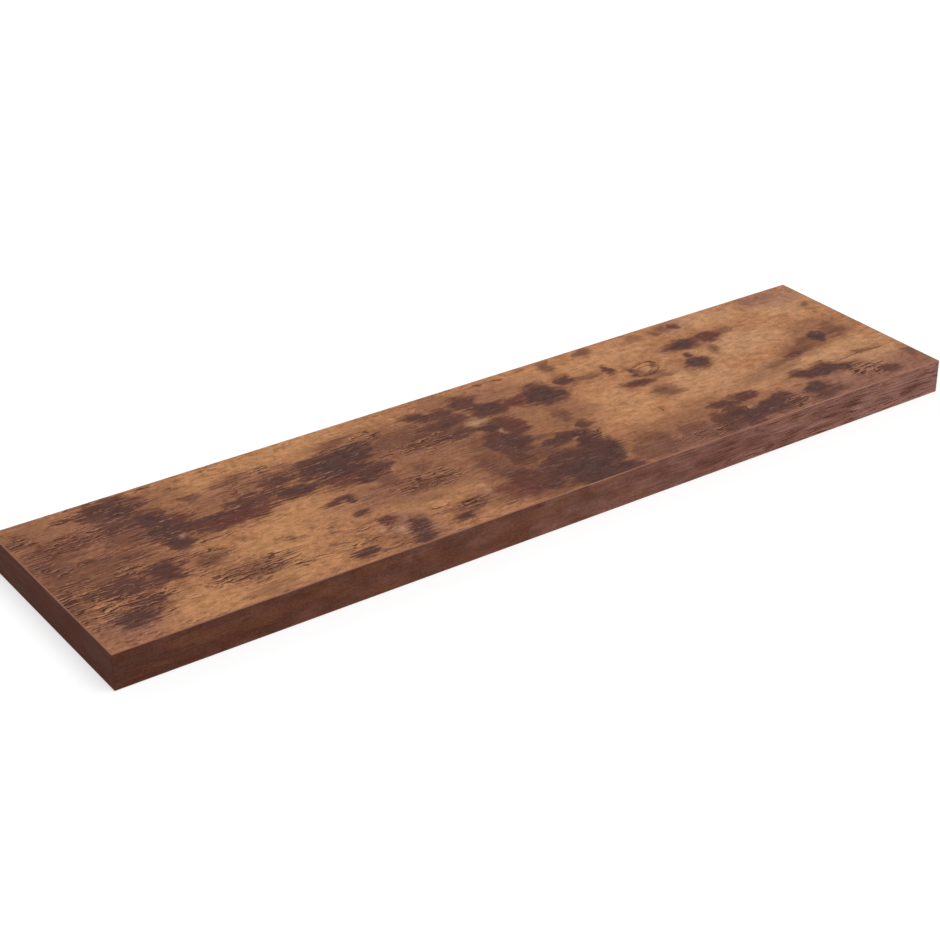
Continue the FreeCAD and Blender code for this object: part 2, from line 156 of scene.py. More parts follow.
BROWN_SPOTS = (
    (30, 50, 33, 11, 0),
    (568, 61, 3.5, 7, -18),
    (579, 74, 9, 3.5, 14),
    (589, 60, 3, 5, 12),
    (222, 50, 26, 14, 0),
    (340, 50, 44, 14, 0),
    (372, 60, 30, 18, 0),
    (374, 130, 16, 38, 0),
    (412, 138, 26, 12, 0),
    (726, 108, 30, 9, -12),
    (655, 46, 26, 8, 0),
    (88, 60, 30, 20, 0),
    (22, 71, 25, 12, 0),
    (20, 96, 28, 18, 0),
    (58, 92, 44, 12, 0),
    (46, 112, 26, 10, 0),
    (6, 136, 9, 22, 0),
    (118, 128, 13, 10, 0),
    (9, 24, 12, 12, 0),
    (148, 38, 8, 5, 0),
    (186, 34, 18, 6, 0),
    (140, 160, 20, 12, 0),
    (290, 106, 13, 14, 0),
    (312, 126, 24, 10, 0),
    (326, 98, 10, 9, 0),
    (348, 70, 26, 8, 12),
    (318, 56, 18, 6, 0),
    (284, 26, 18, 6, 0),
    (366, 174, 22, 16, 0),
    (386, 192, 18, 8, 0),
    (324, 170, 20, 7, 0),
    (414, 132, 16, 11, 0),
    (426, 115, 20, 9, 0),
    (418, 140, 32, 8, 0),
    (382, 100, 10, 24, 0),
    (496, 184, 26, 14, 0),
    (530, 49, 14, 3, 0),
    (512, 16, 5, 12, 14),
    (555, 8, 7, 6, 0),
    (584, 84, 12, 3, 0),
    (568, 108, 11, 9, 0),
    (552, 190, 34, 11, 0),
    (544, 174, 16, 9, 0),
    (468, 92, 10, 18, 0),
    (684, 43, 12, 5, 0),
    (653, 66, 4, 10, 0),
    (766, 101, 14, 11, 0),
    (694, 121, 26, 6, -12),
    (505, 166, 20, 9, 0),
    (762, 146, 12, 3, 0),
    (768, 84, 8, 3, -15),
    (784, 45, 5, 3, 0),
    (643, 10, 6, 6, 0),
    (631, 12, 4, 5, 0),
    (181, 136, 4, 3, 0),
    (202, 163, 3, 2, 0),
    (793, 170, 6, 10, 0),
    (604, 150, 8, 6, 0),
)
HAZE_SPOTS = (
    (45, 90, 60, 38, 0),
    (50, 50, 50, 20, 0),
    (370, 90, 40, 60, 0),
    (320, 50, 40, 26, 0),
    (70, 72, 36, 14, 0),
    (80, 106, 20, 10, 0),
    (18, 170, 16, 12, 0),
    (136, 190, 15, 8, 0),
    (150, 66, 50, 22, 0),
    (190, 45, 22, 16, 0),
    (345, 62, 60, 30, 0),
    (330, 116, 70, 28, 0),
    (390, 14, 14, 14, 0),
    (372, 150, 24, 30, 0),
    (256, 176, 20, 20, 0),
    (440, 85, 50, 50, 0),
    (500, 176, 50, 24, 0),
    (655, 130, 24, 6, -12),
    (700, 122, 60, 7, -14),
    (760, 90, 26, 16, 0),
    (575, 170, 50, 26, 0),
    (755, 10, 14, 8, 0),
    (788, 184, 18, 16, 0),
    (716, 192, 34, 10, 0),
    (610, 12, 6, 5, 0),
    (120, 26, 26, 16, 0),
    (20, 20, 26, 26, 0),
)
GREY_SPOTS = (
    (98, 28, 8, 9, 0),
    (106, 52, 9, 9, 0),
    (108, 74, 12, 12, 0),
    (262, 58, 12, 20, 0),
    (292, 46, 14, 11, 0),
    (228, 76, 9, 8, 0),
    (30, 166, 7, 8, 0),
    (466, 168, 11, 10, 0),
    (432, 180, 24, 14, 0),
    (484, 54, 10, 12, 0),
    (638, 46, 8, 8, 0),
    (625, 80, 6, 7, 0),
    (746, 104, 6, 6, 0),
    (677, 176, 14, 8, 0),
    (596, 184, 9, 11, 0),
    (310, 184, 7, 4, 0),
    (714, 158, 12, 7, 0),
)
RED_SPOTS = (
    (118, 47, 8, 8, 0),
    (132, 61, 12, 5, 0),
    (168, 86, 44, 7, 0),
    (256, 155, 9, 5, 0),
    (258, 82, 14, 8, 0),
    (450, 50, 12, 9, 0),
    (432, 82, 10, 14, 0),
    (560, 84, 13, 5, 0),
    (668, 47, 14, 8, 0),
    (655, 12, 6, 7, 0),
    (618, 154, 12, 7, 0),
    (704, 118, 9, 5, 0),
    (30, 50, 32, 10, 0),
    (366, 172, 22, 14, 0),
)
MAUVE_ZONES = (
    (700, 186, 116, 26, 0),
    (560, 188, 70, 14, 0),
    (655, 12, 14, 10, 0),
    (85, 45, 24, 14, 0),
    (30, 170, 22, 14, 0),
    (270, 175, 16, 22, 0),
    (770, 15, 30, 16, 0),
)
PALE_SPOTS = (
    (403, 63, 11, 9, 0),
    (345, 150, 5, 7, 0),
    (343, 162, 4, 9, 20),
    (242, 164, 6, 6, 0),
    (254, 172, 8, 7, 0),
    (413, 88, 4, 4, 0),
    (452, 132, 4, 3, 0),
    (473, 130, 4, 4, 0),
    (754, 93, 4, 4, 0),
    (117, 87, 6, 4, 0),
    (581, 63, 5, 6, 0),
    (719, 172, 7, 3, 0),
    (605, 170, 6, 5, 0),
)
GOLDEN_ZONES = (
    (32, 20, 16, 18, 0),
    (162, 30, 12, 28, 0),
    (215, 112, 44, 22, 0),
    (175, 135, 30, 24, 0),
    (125, 180, 74, 18, 0),
    (250, 12, 60, 14, 0),
    (310, 145, 40, 12, 0),
    (446, 76, 12, 16, 0),
    (520, 104, 28, 30, 0),
    (690, 132, 100, 14, 0),
    (680, 72, 46, 20, 0),
    (566, 26, 34, 16, 0),
    (600, 110, 40, 26, 0),
    (760, 156, 34, 14, 0),
    (690, 16, 34, 12, 0),
    (490, 16, 26, 12, 0),
    (765, 32, 30, 24, 0),
)
ROSY_ZONES = (
    (30, 60, 70, 50, 0),
    (340, 62, 50, 28, 0),
    (365, 170, 34, 24, 0),
    (660, 190, 140, 16, 0),
    (20, 188, 34, 16, 0),
    (520, 185, 40, 18, 0),
    (100, 112, 14, 14, 0),
    (435, 20, 44, 14, 0),
    (290, 120, 60, 20, 0),
    (98, 10, 12, 8, 0),
    (168, 48, 36, 12, 0),
)
CRACKED_AREAS = (
    (135, 158, 34, 13, 0),
    (16, 136, 26, 30, 0),
    (176, 171, 14, 4, 0),
    (50, 150, 26, 12, 0),
    (64, 167, 8, 3, 0),
    (54, 15, 9, 4, 0),
    (9, 27, 12, 10, 0),
    (40, 47, 30, 10, 0),
    (62, 110, 14, 8, 0),
    (221, 173, 14, 4, 0),
    (318, 122, 26, 13, 0),
    (320, 169, 18, 6, 0),
    (309, 33, 12, 8, 0),
    (345, 68, 30, 10, 0),
    (298, 160, 6, 2, 0),
    (545, 186, 24, 6, 0),
    (650, 190, 12, 12, 0),
    (738, 176, 18, 12, 0),
    (468, 134, 10, 8, 0),
    (212, 30, 10, 5, 0),
)
GRAIN_LINES = (
    (52, 79, 48, 0.8, 0),
    (27, 100, 28, 0.8, 0),
    (34, 57, 30, 0.9, 0),
    (18, 124, 12, 1.4, 0),
    (26, 144, 14, 1.4, 0),
    (12, 34, 10, 1.4, 0),
    (125, 159, 32, 0.9, 0),
    (750, 148, 46, 0.9, 0),
    (221, 174, 14, 1.0, 0),
    (352, 61, 22, 0.9, 8),
    (362, 73, 22, 0.9, 14),
    (325, 120, 20, 1.0, 4),
    (543, 132, 1.0, 6, 20),
    (455, 8, 16, 1.2, 0),
)
KNOTS = (
    (624, 82, 12, 10, 0),
    (637, 46, 19, 8, 0),
    (746, 102, 9, 8, 0),
    (617, 154, 12, 6, 0),
    (560, 84, 14, 6, 0),
)
# Each layer of spots, how dark it is and how ragged its edges are
SPOT_LAYERS = (
    (HAZE_SPOTS, 0.46, 1.2),
    (BROWN_SPOTS, 0.64, 1.0),
    (DUSKY_SPOTS, 0.82, 1.0),
    (DARK_SPOTS, 0.93, 1.0),
    (KNOTS, 0.92, 0.3),
)
# How many times its size a spot's field reaches, the power of its size by which it deepens,
# and how softly spots run into each other
SPOT_REACH = 3.5
SPOT_SOFTNESS = 0.35
SPOT_MERGE = 0.7
# A stain is a halo and a heart inside it: the depths between which each of them comes in
HALO_STEP = (-2.6, 0.0)
HALO_DARKNESS = 0.34
HEART_STEP = (-1.5, 1.25)
# Ring figures: X, Y, the rings' inner and outer reach, their spacing, how much wider than tall
RING_FIGURES = (
    (580, 64, 4, 17, 6.0, 1.3),
    (740, 176, 3, 16, 5.0, 1.4),
    (592, 174, 6, 22, 5.0, 1.0),
)
RING_WAVER = 6.0
RING_LINE = (0.0, 0.9)
RING_FADE = 0.7
# Zones of the print: their spots, how much noises fray them, and the step over their depth.
# A step is where it starts and where it is full, then what it gives there if not 0 and 1.
ZONES = {
    "golden": (GOLDEN_ZONES, {"mottle": 5.0}, (-2.0, 1.5)),
    "rosy": (ROSY_ZONES, {"clump": 4.0}, (-2.0, 2.0, 0.0, 0.8)),
    "grey_cast": (GREY_SPOTS, {}, (-1.0, 1.0, 0.0, 0.5)),
    "red_cast": (RED_SPOTS, {}, (-1.0, 1.0, 0.0, 0.5)),
    "mauve": (MAUVE_ZONES, {"clump": 3.0}, (-2.0, 2.0)),
    "pale": (PALE_SPOTS, {"clump": 1.6}, (-0.4, 1.8, 0.0, 0.55)),
    "cracked": (CRACKED_AREAS, {"clump": 3.0}, (-1.6, 0.8)),
    "lines": (GRAIN_LINES, {"streak": 1.2}, (-0.4, 0.6, 0.0, 0.6)),
}

# The noises that move places: size in millimetres, detail, and how far they move them
CLOUD, CLOUD_REACH = ((34.0, 22.0, 1.0), 2.0), (14.0, 10.0, 0.0)
RAGGED, RAGGED_REACH = ((12.0, 7.0, 1.0), 2.0), (9.0, 6.0, 0.0)
FRAYED, FRAYED_REACH = ((7.0, 0.9, 1.0), 3.0), (3.0, 0.4, 0.0)
TORN_REACH = (14.0, 5.0, 0.0)
# How far the painted highlight beside each crack is moved from the crack
CRACK_HIGHLIGHT_OFFSET = (1.5, 1.2, 0.0)
# The print's noises: the places that each follows, its size along and across the grain in
# millimetres, its detail and roughness, and its turn in degrees
PRINT_NOISES = {
    "mottle": ("straight", (24.0, 11.0, 1.0), 5.0, 0.54, 0.0),
    "clump": ("warped", (11.0, 6.0, 1.0), 5.0, 0.56, 0.0),
    "streak": ("straight", (26.0, 2.2, 1.0), 4.0, 0.6, 0.0),
    "speckle": ("straight", (2.4, 1.2, 1.0), 4.0, 0.7, 0.0),
    "blur": ("warped", (20.0, 11.0, 1.0), 2.0, 0.5, 0.0),
    "grain": ("straight", (16.0, 0.7, 1.0), 5.0, 0.7, 0.0),
    "fibre": ("straight", (4.0, 0.22, 1.0), 3.0, 0.65, 0.0),
    "scuff": ("straight", (15.0, 2.6, 1.0), 3.0, 0.6, -58.0),
    "dab": ("warped", (5.5, 3.4, 1.0), 2.0, 0.5, 0.0),
}
# How much noises swing the stains' edges, their darkness, the fine grain and the broad shade
EDGE_SWINGS = {"blur": 2.6, "clump": 0.9}
STREAK_SWING, WORN_STREAK_SWING = 1.2, 3.0
DARKNESS_SWINGS = {"mottle": 0.50, "clump": 0.40, "streak": 0.28, "speckle": 0.08}
FINE_SWINGS = {"grain": 0.42, "speckle": 0.38, "scuff": 0.3}
DAB_SWING = 0.65
FIBRE_SWING = 0.4
BROAD_SWINGS = {"clump": 1.2, "mottle": 0.60}
# Steps along the board, in millimetres from its left end
WORN_STEP = (480.0, 180.0)
# The golden ground turns paler towards the board's right end
RIGHTWARD_PALING_STEP = (430.0, 700.0, 0.0, 0.34)
# Steps over a noise
DUSTY_STEP = (0.42, 0.62, 0.0, 0.32)
SCATTER_STEP = (0.46, 0.60)
RING_BREAKS = (0.40, 0.54, 0.0, 0.75)
# Steps over the stains' darkness
STAIN_STEP = (0.0, 0.85)
CAST_STEP = (0.35, 0.75)
MAUVE_STEP = (0.85, 0.35, 0.05, 0.45)
PORE_STEP = (0.15, 0.45, 0.0, 0.25)
LIVELY_STEP = (0.3, 0.75, 0.85, 0.25)
# The darkness at which each colour of the stains is pure
STAIN_COLOURS = ((0.40, "brown"), (0.62, "dusky"), (0.80, "dark"), (0.98, "core"))
# Broken dashes along the grain: their noise, and the values of it that they rise between
DASH_DETAIL, DASH_ROUGHNESS = 4.0, 0.65
CRACKS = ((15.0, 2.0, 1.0), 0.53, 0.57)
# Pale dashes beside the cracks: a painted highlight on their lit side
CRACK_HIGHLIGHTS = ((15.0, 2.0, 1.0), 0.54, 0.60)
PORES = ((4.5, 1.6, 1.0), 0.56, 0.62)
# How strong the painted highlight beside the cracks is, then the pores
CRACK_HIGHLIGHT_STRENGTH = 0.42
PORE_STRENGTH = 0.55
# How much the golden ground holds back wear and dabs, and how much the worn ground and the
# rest hold scattered cracks and pores
GOLD_AGAINST_WEAR = -0.75
GOLD_AGAINST_DABS = -0.35
SCATTER_WORN, SCATTER_EVERYWHERE = 0.6, 0.25
PORES_WORN = 0.6
# The print's shade, how deep its grain is, and how that lightens it towards grey, as red,
# green and blue
PRINT_SHADE = 1.04
PRINT_GRAIN = 0.3
PRINT_HAZE = (0.20, 0.135, 0.09)
# What speckle and cracks add to the print's relief, and its depth in millimetres
SPECKLE_RELIEF = 0.6
CRACK_RELIEF = -0.8
PRINT_BUMP = 0.05
# The print's roughness as a step over its relief, its gloss, and how straight up a face of a
# skin looks where it is printed
PRINT_ROUGHNESS = (0.2, 0.8, 0.66, 0.54)
PRINT_GLOSS = 0.03
PRINTED_FACING = 0.5

# Dark marks of the bands, as spots: along the band, then up it
FRONT_MARKS = (
    (20, 12, 9, 4, 0),
    (92, 8, 8, 3, 0),
    (231, 20, 7, 3, 0),
    (252, 20, 3, 7, 0),
    (318, 9, 12, 3, 0),
    (470, 22, 12, 3, 0),
    (540, 12, 16, 5, 0),
    (584, 14, 14, 5, 0),
    (690, 20, 14, 4, 0),
    (672, 13, 10, 3, 0),
    (770, 12, 10, 4, 0),
)
END_MARKS = (
    (250, 140, 24, 6, 0),
    (190, 150, 20, 5, 0),
)
# Bands: node, material, axis it runs along, shift of its figure, how much its far end lightens
# (partly the print, partly painted light), how calm its figure is, and its dark marks
BANDS = (
    ("front_edge_band", "front_band", "X", 0.0, 1.0, 0.0, FRONT_MARKS),
    ("left_edge_band", "left_band", "Y", 130.0, 0.0, 0.6, END_MARKS),
    ("right_edge_band", "right_band", "Y", 410.0, 0.0, 0.6, END_MARKS),
)
# The bands' noises, in the print's way
BAND_WANDER = ((60.0, 24.0, 1.0), 2.0)
BAND_GRAIN_REACH = (0.0, 3.0, 0.0)
BAND_REACH = (20.0, 5.0, 0.0)
BAND_NOISES = {
    "grain": ("straight", (38.0, 0.8, 1.0), 4.0, 0.7, 0.0),
    "blotch": ("warped", (30.0, 13.0, 1.0), 4.0, 0.6, 0.0),
    "warm": ("warped", (44.0, 11.0, 1.0), 3.0, 0.5, 0.0),
    "knots": ("warped", (22.0, 8.0, 1.0), 2.0, 0.4, 0.0),
    "speckle": ("warped", (2.6, 1.2, 1.0), 4.0, 0.7, 0.0),
}
# The bands' colours are darker than the top's print, partly as painted shade of the shelf's sides
BAND_COLOURS = ((0.0, "band_dark"), (0.38, "band"), (0.95, "band_light"))
# Pairs for a lively band and a wholly calm one
BLOTCH_SWING = (0.95, 0.05)
AMBER_STRENGTH = (0.35, 0.0)
OLIVE_STRENGTH = (0.2, 0.5)
FINE_STRENGTH = (1.0, 0.4)
AMBER_STEP = (0.47, 0.68)
OLIVE_STEP = (0.50, 0.36)
KNOT_STEP = (0.68, 0.82, 0.0, 0.7)
MARK_SWING = {"blotch": 2.0}
MARK_STEP = (-1.4, 1.6, 0.0, 0.6)
# Grain lines of the bands: everywhere, and stronger at a far end that lightens
LINED_STEP = (0.45, 0.85)
LINED_FAR, LINED_EVERYWHERE = 1.3, 0.30
BAND_DASHES = ((26.0, 1.3, 1.0), 0.54, 0.64)
DASH_STRENGTH = 0.5
# Fine grain and speckle of the bands, their depth, and how they lighten a band towards grey
BAND_GRAIN_SWING = 1.7
BAND_SPECKLE_SWING = {"speckle": 0.8}
BAND_GRAIN = 0.7
BAND_HAZE = (0.08, 0.06, 0.05)
# The lighter upper edge: a step over the millimetres above the board's top
UPPER_EDGE_SWING = {"blotch": 0.8}
UPPER_EDGE_STEP = (-0.75, -0.25, 0.0, 0.7)
BAND_ROUGHNESS = 0.6
BAND_BUMP = 0.06
BAND_GLOSS = 0.02

# Solid noises of the other materials: size in millimetres, detail and roughness
RAW_FIBRE = ((1.6, 1.6, 0.5), 5.0, 0.75)
CHIP_WANDER = ((6.0, 6.0, 3.0), 3.0)
CHIP_FIBRE = ((2.2, 0.5, 0.4), 4.0, 0.7)
PAPER_CLOUD = ((7.0, 7.0, 7.0), 4.0, 0.6)
PAPER_FIBRE = ((3.0, 3.0, 0.25), 4.0, 0.7)
STEEL_CLOUD = ((30.0, 30.0, 30.0), 3.0)
WELD_SCALE = ((1.6, 1.6, 1.6), 5.0, 0.7)
RUB = ((1.5, 1.5, 1.5), 4.0, 0.7)
RAW_COLOURS = ((0.30, "fibre_dark"), (0.70, "fibre_light"))
# Particleboard
CHIP_REACH = (3.0, 3.0, 1.2)
CHIP_SIZE = (4.2, 3.4, 1.1)
CHIP_COLOURS = ((0.0, "chip_dark"), (0.35, "chip"), (0.75, "chip_light"), (1.0, "chip_pale"))
CHIP_SPECKS = (0.92, 0.95)
CHIP_GAPS = (0.05, 0.0, 0.0, 0.4)
CHIP_FIBRE_SWING = 0.6
CHIP_RELIEF = 0.5
CHIP_BUMP = 0.25
CHIP_ROUGHNESS = 0.85
# Paper
PAPER_COLOURS = ((0.3, "paper_dark"), (0.5, "paper"), (0.7, "paper_light"))
PAPER_BUMP = 0.08
PAPER_ROUGHNESS = 0.9
DULL_GLOSS = 0.05
# Plated steel: fine drawing lines, crystal patches and a cloudy tint
LINE_WIDTH, LINE_LENGTH = 0.35, 60.0
LINE_DETAIL, LINE_ROUGHNESS = 3.0, 0.7
CRYSTAL_SIZE = (7.0, 7.0, 7.0)
STEEL_SHADE = 0.98
STEEL_SWINGS = {"patches": 0.08, "lines": 0.18, "cloud": 0.25}
STEEL_TINT = (0.45, 0.70, 0.0, 0.35)
STEEL_DULLNESS = {"patches": 0.3}
STEEL_ROUGHNESS = (0.3, 0.7, 0.30, 0.48)
STEEL_BUMP = 0.02
# Weld metal
PIT_SIZE = (1.1, 1.1, 1.1)
PIT_SOOT = (0.22, 0.08, 0.0, 0.6)
PIT_RELIEF = 0.5
# Painted shade in the bead's hollows: a step over its relief noise
WELD_PAINTED_SHADE = (0.3, 0.7, 0.55, 1.05)
WELD_ROUGHNESS = (0.3, 0.7, 0.65, 0.45)
WELD_BUMP = 0.12
WELD_METALLIC = 0.9
# Turned pieces: end of the node's name, metal, how metallic it is, and its roughness where it
# is least and most rubbed
TURNED_PIECES = (
    ("_lock_insert", "brass", 1.0, (0.28, 0.45)),
    ("_lock_screw", "oxide", 0.7, (0.35, 0.55)),
)
# Tool marks: their spacing in millimetres, their height, shade and depth, and the wear on them
RING_PITCH, HEIGHT_PITCH = 0.22, 0.25
TOOLING = 0.25
TOOLING_SHADE = 0.25
TOOLING_BUMP = 0.02
RUB_WEAR = (0.48, 0.68, 0.0, 0.8)
RUB_SWING = {"rub": 0.3}
RUB_RANGE = (0.3, 0.7)

# The stage, in metres; the floor lies just under the shelf
VIEW_AIM = Vector((-0.0172, 0.0182, 0.0))
SENSOR_WIDTH_MM = 36.0
FLOOR_SIZE = 12.0
FLOOR_DROP = 0.2 * MM
FLOOR_CLEAR = 3.0 * MM
FLOOR_GLOW = 0.56
WORLD_LIGHT = 0.25
UNDERSIDE_LIGHT = 0.6
UNDERSIDE_BLEND = (0.0, -0.02)
WHITE = (1.0, 1.0, 1.0, 1.0)
# Lamp: name, azimuth it shines from, height in degrees, spread in degrees, power
LAMPS = (
    ("main_lamp", 30.0, 68.0, 50.0, 2.07),
    ("fill_lamp", -70.0, 30.0, 80.0, 0.26),
    ("back_lamp", 170.0, 25.0, 70.0, 0.5),
)

# Sockets of the Mix node for colours
MIX_FACTOR, MIX_FIRST, MIX_SECOND, MIX_RESULT = 0, 6, 7, 2


def paint(red, green, blue):
    """A scene colour from the red, green and blue of a paint chart, each 0 to 255."""
    channels = []
    for level in (red, green, blue):
        share = level / 255.0
        channels.append(share / 12.92 if share <= 0.04045 else ((share + 0.055) / 1.055) ** 2.4)
    return (*channels, 1.0)


def between(pair, share):
    """A number between the two of a pair."""
    return pair[0] + (pair[1] - pair[0]) * share


def named_stops(stops, colours):
    """The stops of a colour ramp, from stops that name their colours."""
    return [(place, colours[name]) for place, name in stops]


class Graph:
    """A node tree in the making. Its calls make a node each and return the result socket."""

    def __init__(self, tree):
        self.tree = tree

    def put(self, socket, value):
        """Links a socket to a socket, or sets its value."""
        if isinstance(value, bpy.types.NodeSocket):
            self.tree.links.new(value, socket)
        else:
            socket.default_value = value

    def node(self, kind, inputs=None, **settings):
        """A node of a kind, with its settings and the inputs given by name."""
        made = self.tree.nodes.new("ShaderNode" + kind)
        for name, value in settings.items():
            setattr(made, name, value)
        for name, value in (inputs or {}).items():
            self.put(made.inputs[name], value)
        return made

    def math(self, operation, *values):
        """A sum or function of one to three numbers."""
        made = self.node("Math", operation=operation)
        for socket, value in zip(made.inputs, values):
            self.put(socket, value)
        return made.outputs[0]

    def vector(self, operation, *values):
        """A sum or function of one or two vectors."""
        made = self.node("VectorMath", operation=operation)
        for socket, value in zip(made.inputs, values):
            self.put(socket, value)
        return made.outputs["Value" if operation == "LENGTH" else "Vector"]

    def axis(self, vector, name):
        """One axis of a vector."""
        return self.node("SeparateXYZ", {"Vector": vector}).outputs[name]

    def mix(self, factor, first, second):
        """Two colours mixed by a factor."""
        made = self.node("Mix", data_type="RGBA")
        self.put(made.inputs[MIX_FACTOR], factor)
        self.put(made.inputs[MIX_FIRST], first)
        self.put(made.inputs[MIX_SECOND], second)
        return made.outputs[MIX_RESULT]

    def step(self, value, low, high, to_low=0.0, to_high=1.0):
        """A smooth step of value from low to high."""
        made = self.node("MapRange", interpolation_type="SMOOTHSTEP")
        names = ("Value", "From Min", "From Max", "To Min", "To Max")
        for name, given in zip(names, (value, low, high, to_low, to_high)):
            self.put(made.inputs[name], given)
        return made.outputs["Result"]

    def swing(self, value, amount):
        """A noise value, which lies about 0.5, as a swing of up to half of amount either way."""
        return self.math("MULTIPLY", self.math("SUBTRACT", value, 0.5), amount)

    def swings(self, first, noises, amounts):
        """A number plus the swings of the noises that amounts names."""
        for name, amount in amounts.items():
            first = self.math("ADD", first, self.swing(noises[name], amount))
        return first

    def total(self, first, *others):
        """The sum of several numbers."""
        for other in others:
            first = self.math("ADD", first, other)
        return first

    def ramp(self, factor, stops):
        """A colour ramp through (place, colour) stops."""
        made = self.node("ValToRGB", {"Fac": factor})
        elements = made.color_ramp.elements
        while len(elements) < len(stops):
            elements.new(1.0)
        for element, (place, colour) in zip(elements, stops):
            element.position = place
            element.color = colour
        return made.outputs["Color"]

    def brighten(self, colour, factor):
        """A colour times a number."""
        made = self.node("VectorMath", operation="SCALE")
        self.put(made.inputs[0], colour)
        self.put(made.inputs["Scale"], factor)
        return made.outputs["Vector"]

    def grained(self, colour, broad, fine, depth, haze):
        """A colour with broad shading, and fine grain: part shading of a depth, part a pale haze."""
        shaded = self.brighten(colour, self.math("MULTIPLY_ADD", fine, depth, broad))
        return self.vector("ADD", shaded, self.brighten(haze, fine))

    def stretch(self, place, size, turn=0.0):
        """Places divided by a size along each axis, so a texture of scale 1 has that grain."""
        made = self.node("Mapping", {"Vector": place, "Scale": size}, vector_type="TEXTURE")
        made.inputs["Rotation"].default_value[2] = math.radians(turn)
        return made.outputs["Vector"]

    def noise(self, place, size, detail=3.0, roughness=0.55, turn=0.0, solid=False, colour=False):
        """Fractal noise whose blobs are about size along each axis; solid noise fills space."""
        made = self.node(
            "TexNoise",
            {
                "Vector": self.stretch(place, size, turn),
                "Scale": 1.0,
                "Detail": detail,
                "Roughness": roughness,
            },
            noise_dimensions="3D" if solid else "2D",
        )
        return made.outputs["Color" if colour else "Fac"]

    def noises(self, places, table):
        """Flat noises by name. Each row of the table starts with the places that it follows."""
        made = {}
        for name, (follows, *row) in table.items():
            made[name] = self.noise(places[follows], *row)
        return made

    def cells(self, place, size, feature="F1", output="Distance"):
        """Cells of about size along each axis, which fill space."""
        made = self.node(
            "TexVoronoi",
            {"Vector": self.stretch(place, size), "Scale": 1.0},
            feature=feature,
            voronoi_dimensions="3D",
        )
        return made.outputs[output]

    def shift(self, place, noise_colour, reach):
        """Places moved about by up to half of reach along each axis."""
        centred = self.vector("SUBTRACT", noise_colour, (0.5, 0.5, 0.5))
        return self.vector("ADD", place, self.vector("MULTIPLY", centred, reach))

    def bump(self, height, depth_mm):
        """A normal from a height field of a depth in millimetres."""
        return self.node("Bump", {"Height": height, "Distance": depth_mm * MM}).outputs["Normal"]


def spots_field(graph, place, spots):
    """How deep inside a spot each place is: 0 on its rim, below 0 outside, up to about 4 inside.

    The depth grows with the spot's size, but slower, so that a large spot has a softer rim.
    """
    field = None
    for x, y, half_length, half_width, turn in spots:
        local = graph.node(
            "Mapping",
            {
                "Vector": place,
                "Location": (x, y, 0.0),
                "Rotation": (0.0, 0.0, math.radians(turn)),
                "Scale": (half_length * SPOT_REACH, half_width * SPOT_REACH, 1.0),
            },
            vector_type="TEXTURE",
        )
        ball = graph.node("TexGradient", {"Vector": local.outputs[0]}, gradient_type="SPHERICAL")
        depth = min(half_length, half_width) ** SPOT_SOFTNESS
        inside = graph.math(
            "MULTIPLY_ADD", ball.outputs["Fac"], depth * SPOT_REACH, depth * (1.0 - SPOT_REACH)
        )
        field = inside if field is None else graph.math("SMOOTH_MAX", field, inside, SPOT_MERGE)
    return field


def rings_field(graph, place, waver, figures):
    """The dark lines of ring figures, from 0 to 1, between each one's inner and outer reach."""
    field = None
    for x, y, inner, outer, spacing, widening in figures:
        local = graph.node(
            "Mapping",
            {"Vector": place, "Location": (x, y, 0.0), "Scale": (widening, 1.0, 1.0)},
            vector_type="TEXTURE",
        )
        radius = graph.vector("LENGTH", local.outputs[0])
        wave = graph.math("SINE", graph.math("MULTIPLY_ADD", radius, math.tau / spacing, waver))
        line = graph.step(wave, *RING_LINE)
        line = graph.math("MULTIPLY", line, graph.step(radius, outer, outer * RING_FADE))
        line = graph.math("MULTIPLY", line, graph.step(radius, inner * RING_FADE, inner))
        field = line if field is None else graph.math("MAXIMUM", field, line)
    return field


def dashes(graph, place, size, low, high):
    """Short broken dashes along the grain: 1 on a dash and 0 off it."""
    return graph.step(graph.noise(place, size, DASH_DETAIL, DASH_ROUGHNESS), low, high)


def print_places(graph, place):
    """The print's places by name: straight, and moved about so that edges wander.

    The edges wander most along the grain. The waver bends the rings.
    """
    cloud = graph.noise(place, *CLOUD, colour=True)
    warped = graph.shift(place, cloud, CLOUD_REACH)
    ragged = graph.noise(place, *RAGGED, colour=True)
    warped = graph.shift(warped, ragged, RAGGED_REACH)
    frayed = graph.noise(place, *FRAYED, colour=True)
    return {
        "straight": place,
        "warped": warped,
        "frayed": graph.shift(warped, frayed, FRAYED_REACH),
        "torn": graph.shift(place, ragged, TORN_REACH),
        "waver": graph.math("MULTIPLY", cloud, RING_WAVER),
    }


def print_zones(graph, places, noises):
    """How strong each zone of the print is, by name."""
    zones = {}
    for name, (spots, frays, step) in ZONES.items():
        field = graph.swings(spots_field(graph, places["warped"], spots), noises, frays)
        zones[name] = graph.step(field, *step)
    return zones


def print_wear(graph, places, zones, noises):
    """How worn the print is towards its left end, and how ragged that makes the stains' edges."""
    worn = graph.step(graph.axis(places["straight"], "X"), *WORN_STEP)
    swing = graph.math("MULTIPLY_ADD", worn, WORN_STREAK_SWING, STREAK_SWING)
    edge = graph.swings(graph.swing(noises["streak"], swing), noises, EDGE_SWINGS)
    held = graph.math("MULTIPLY_ADD", zones["golden"], GOLD_AGAINST_WEAR, 1.0)
    return graph.math("MULTIPLY", worn, held), edge


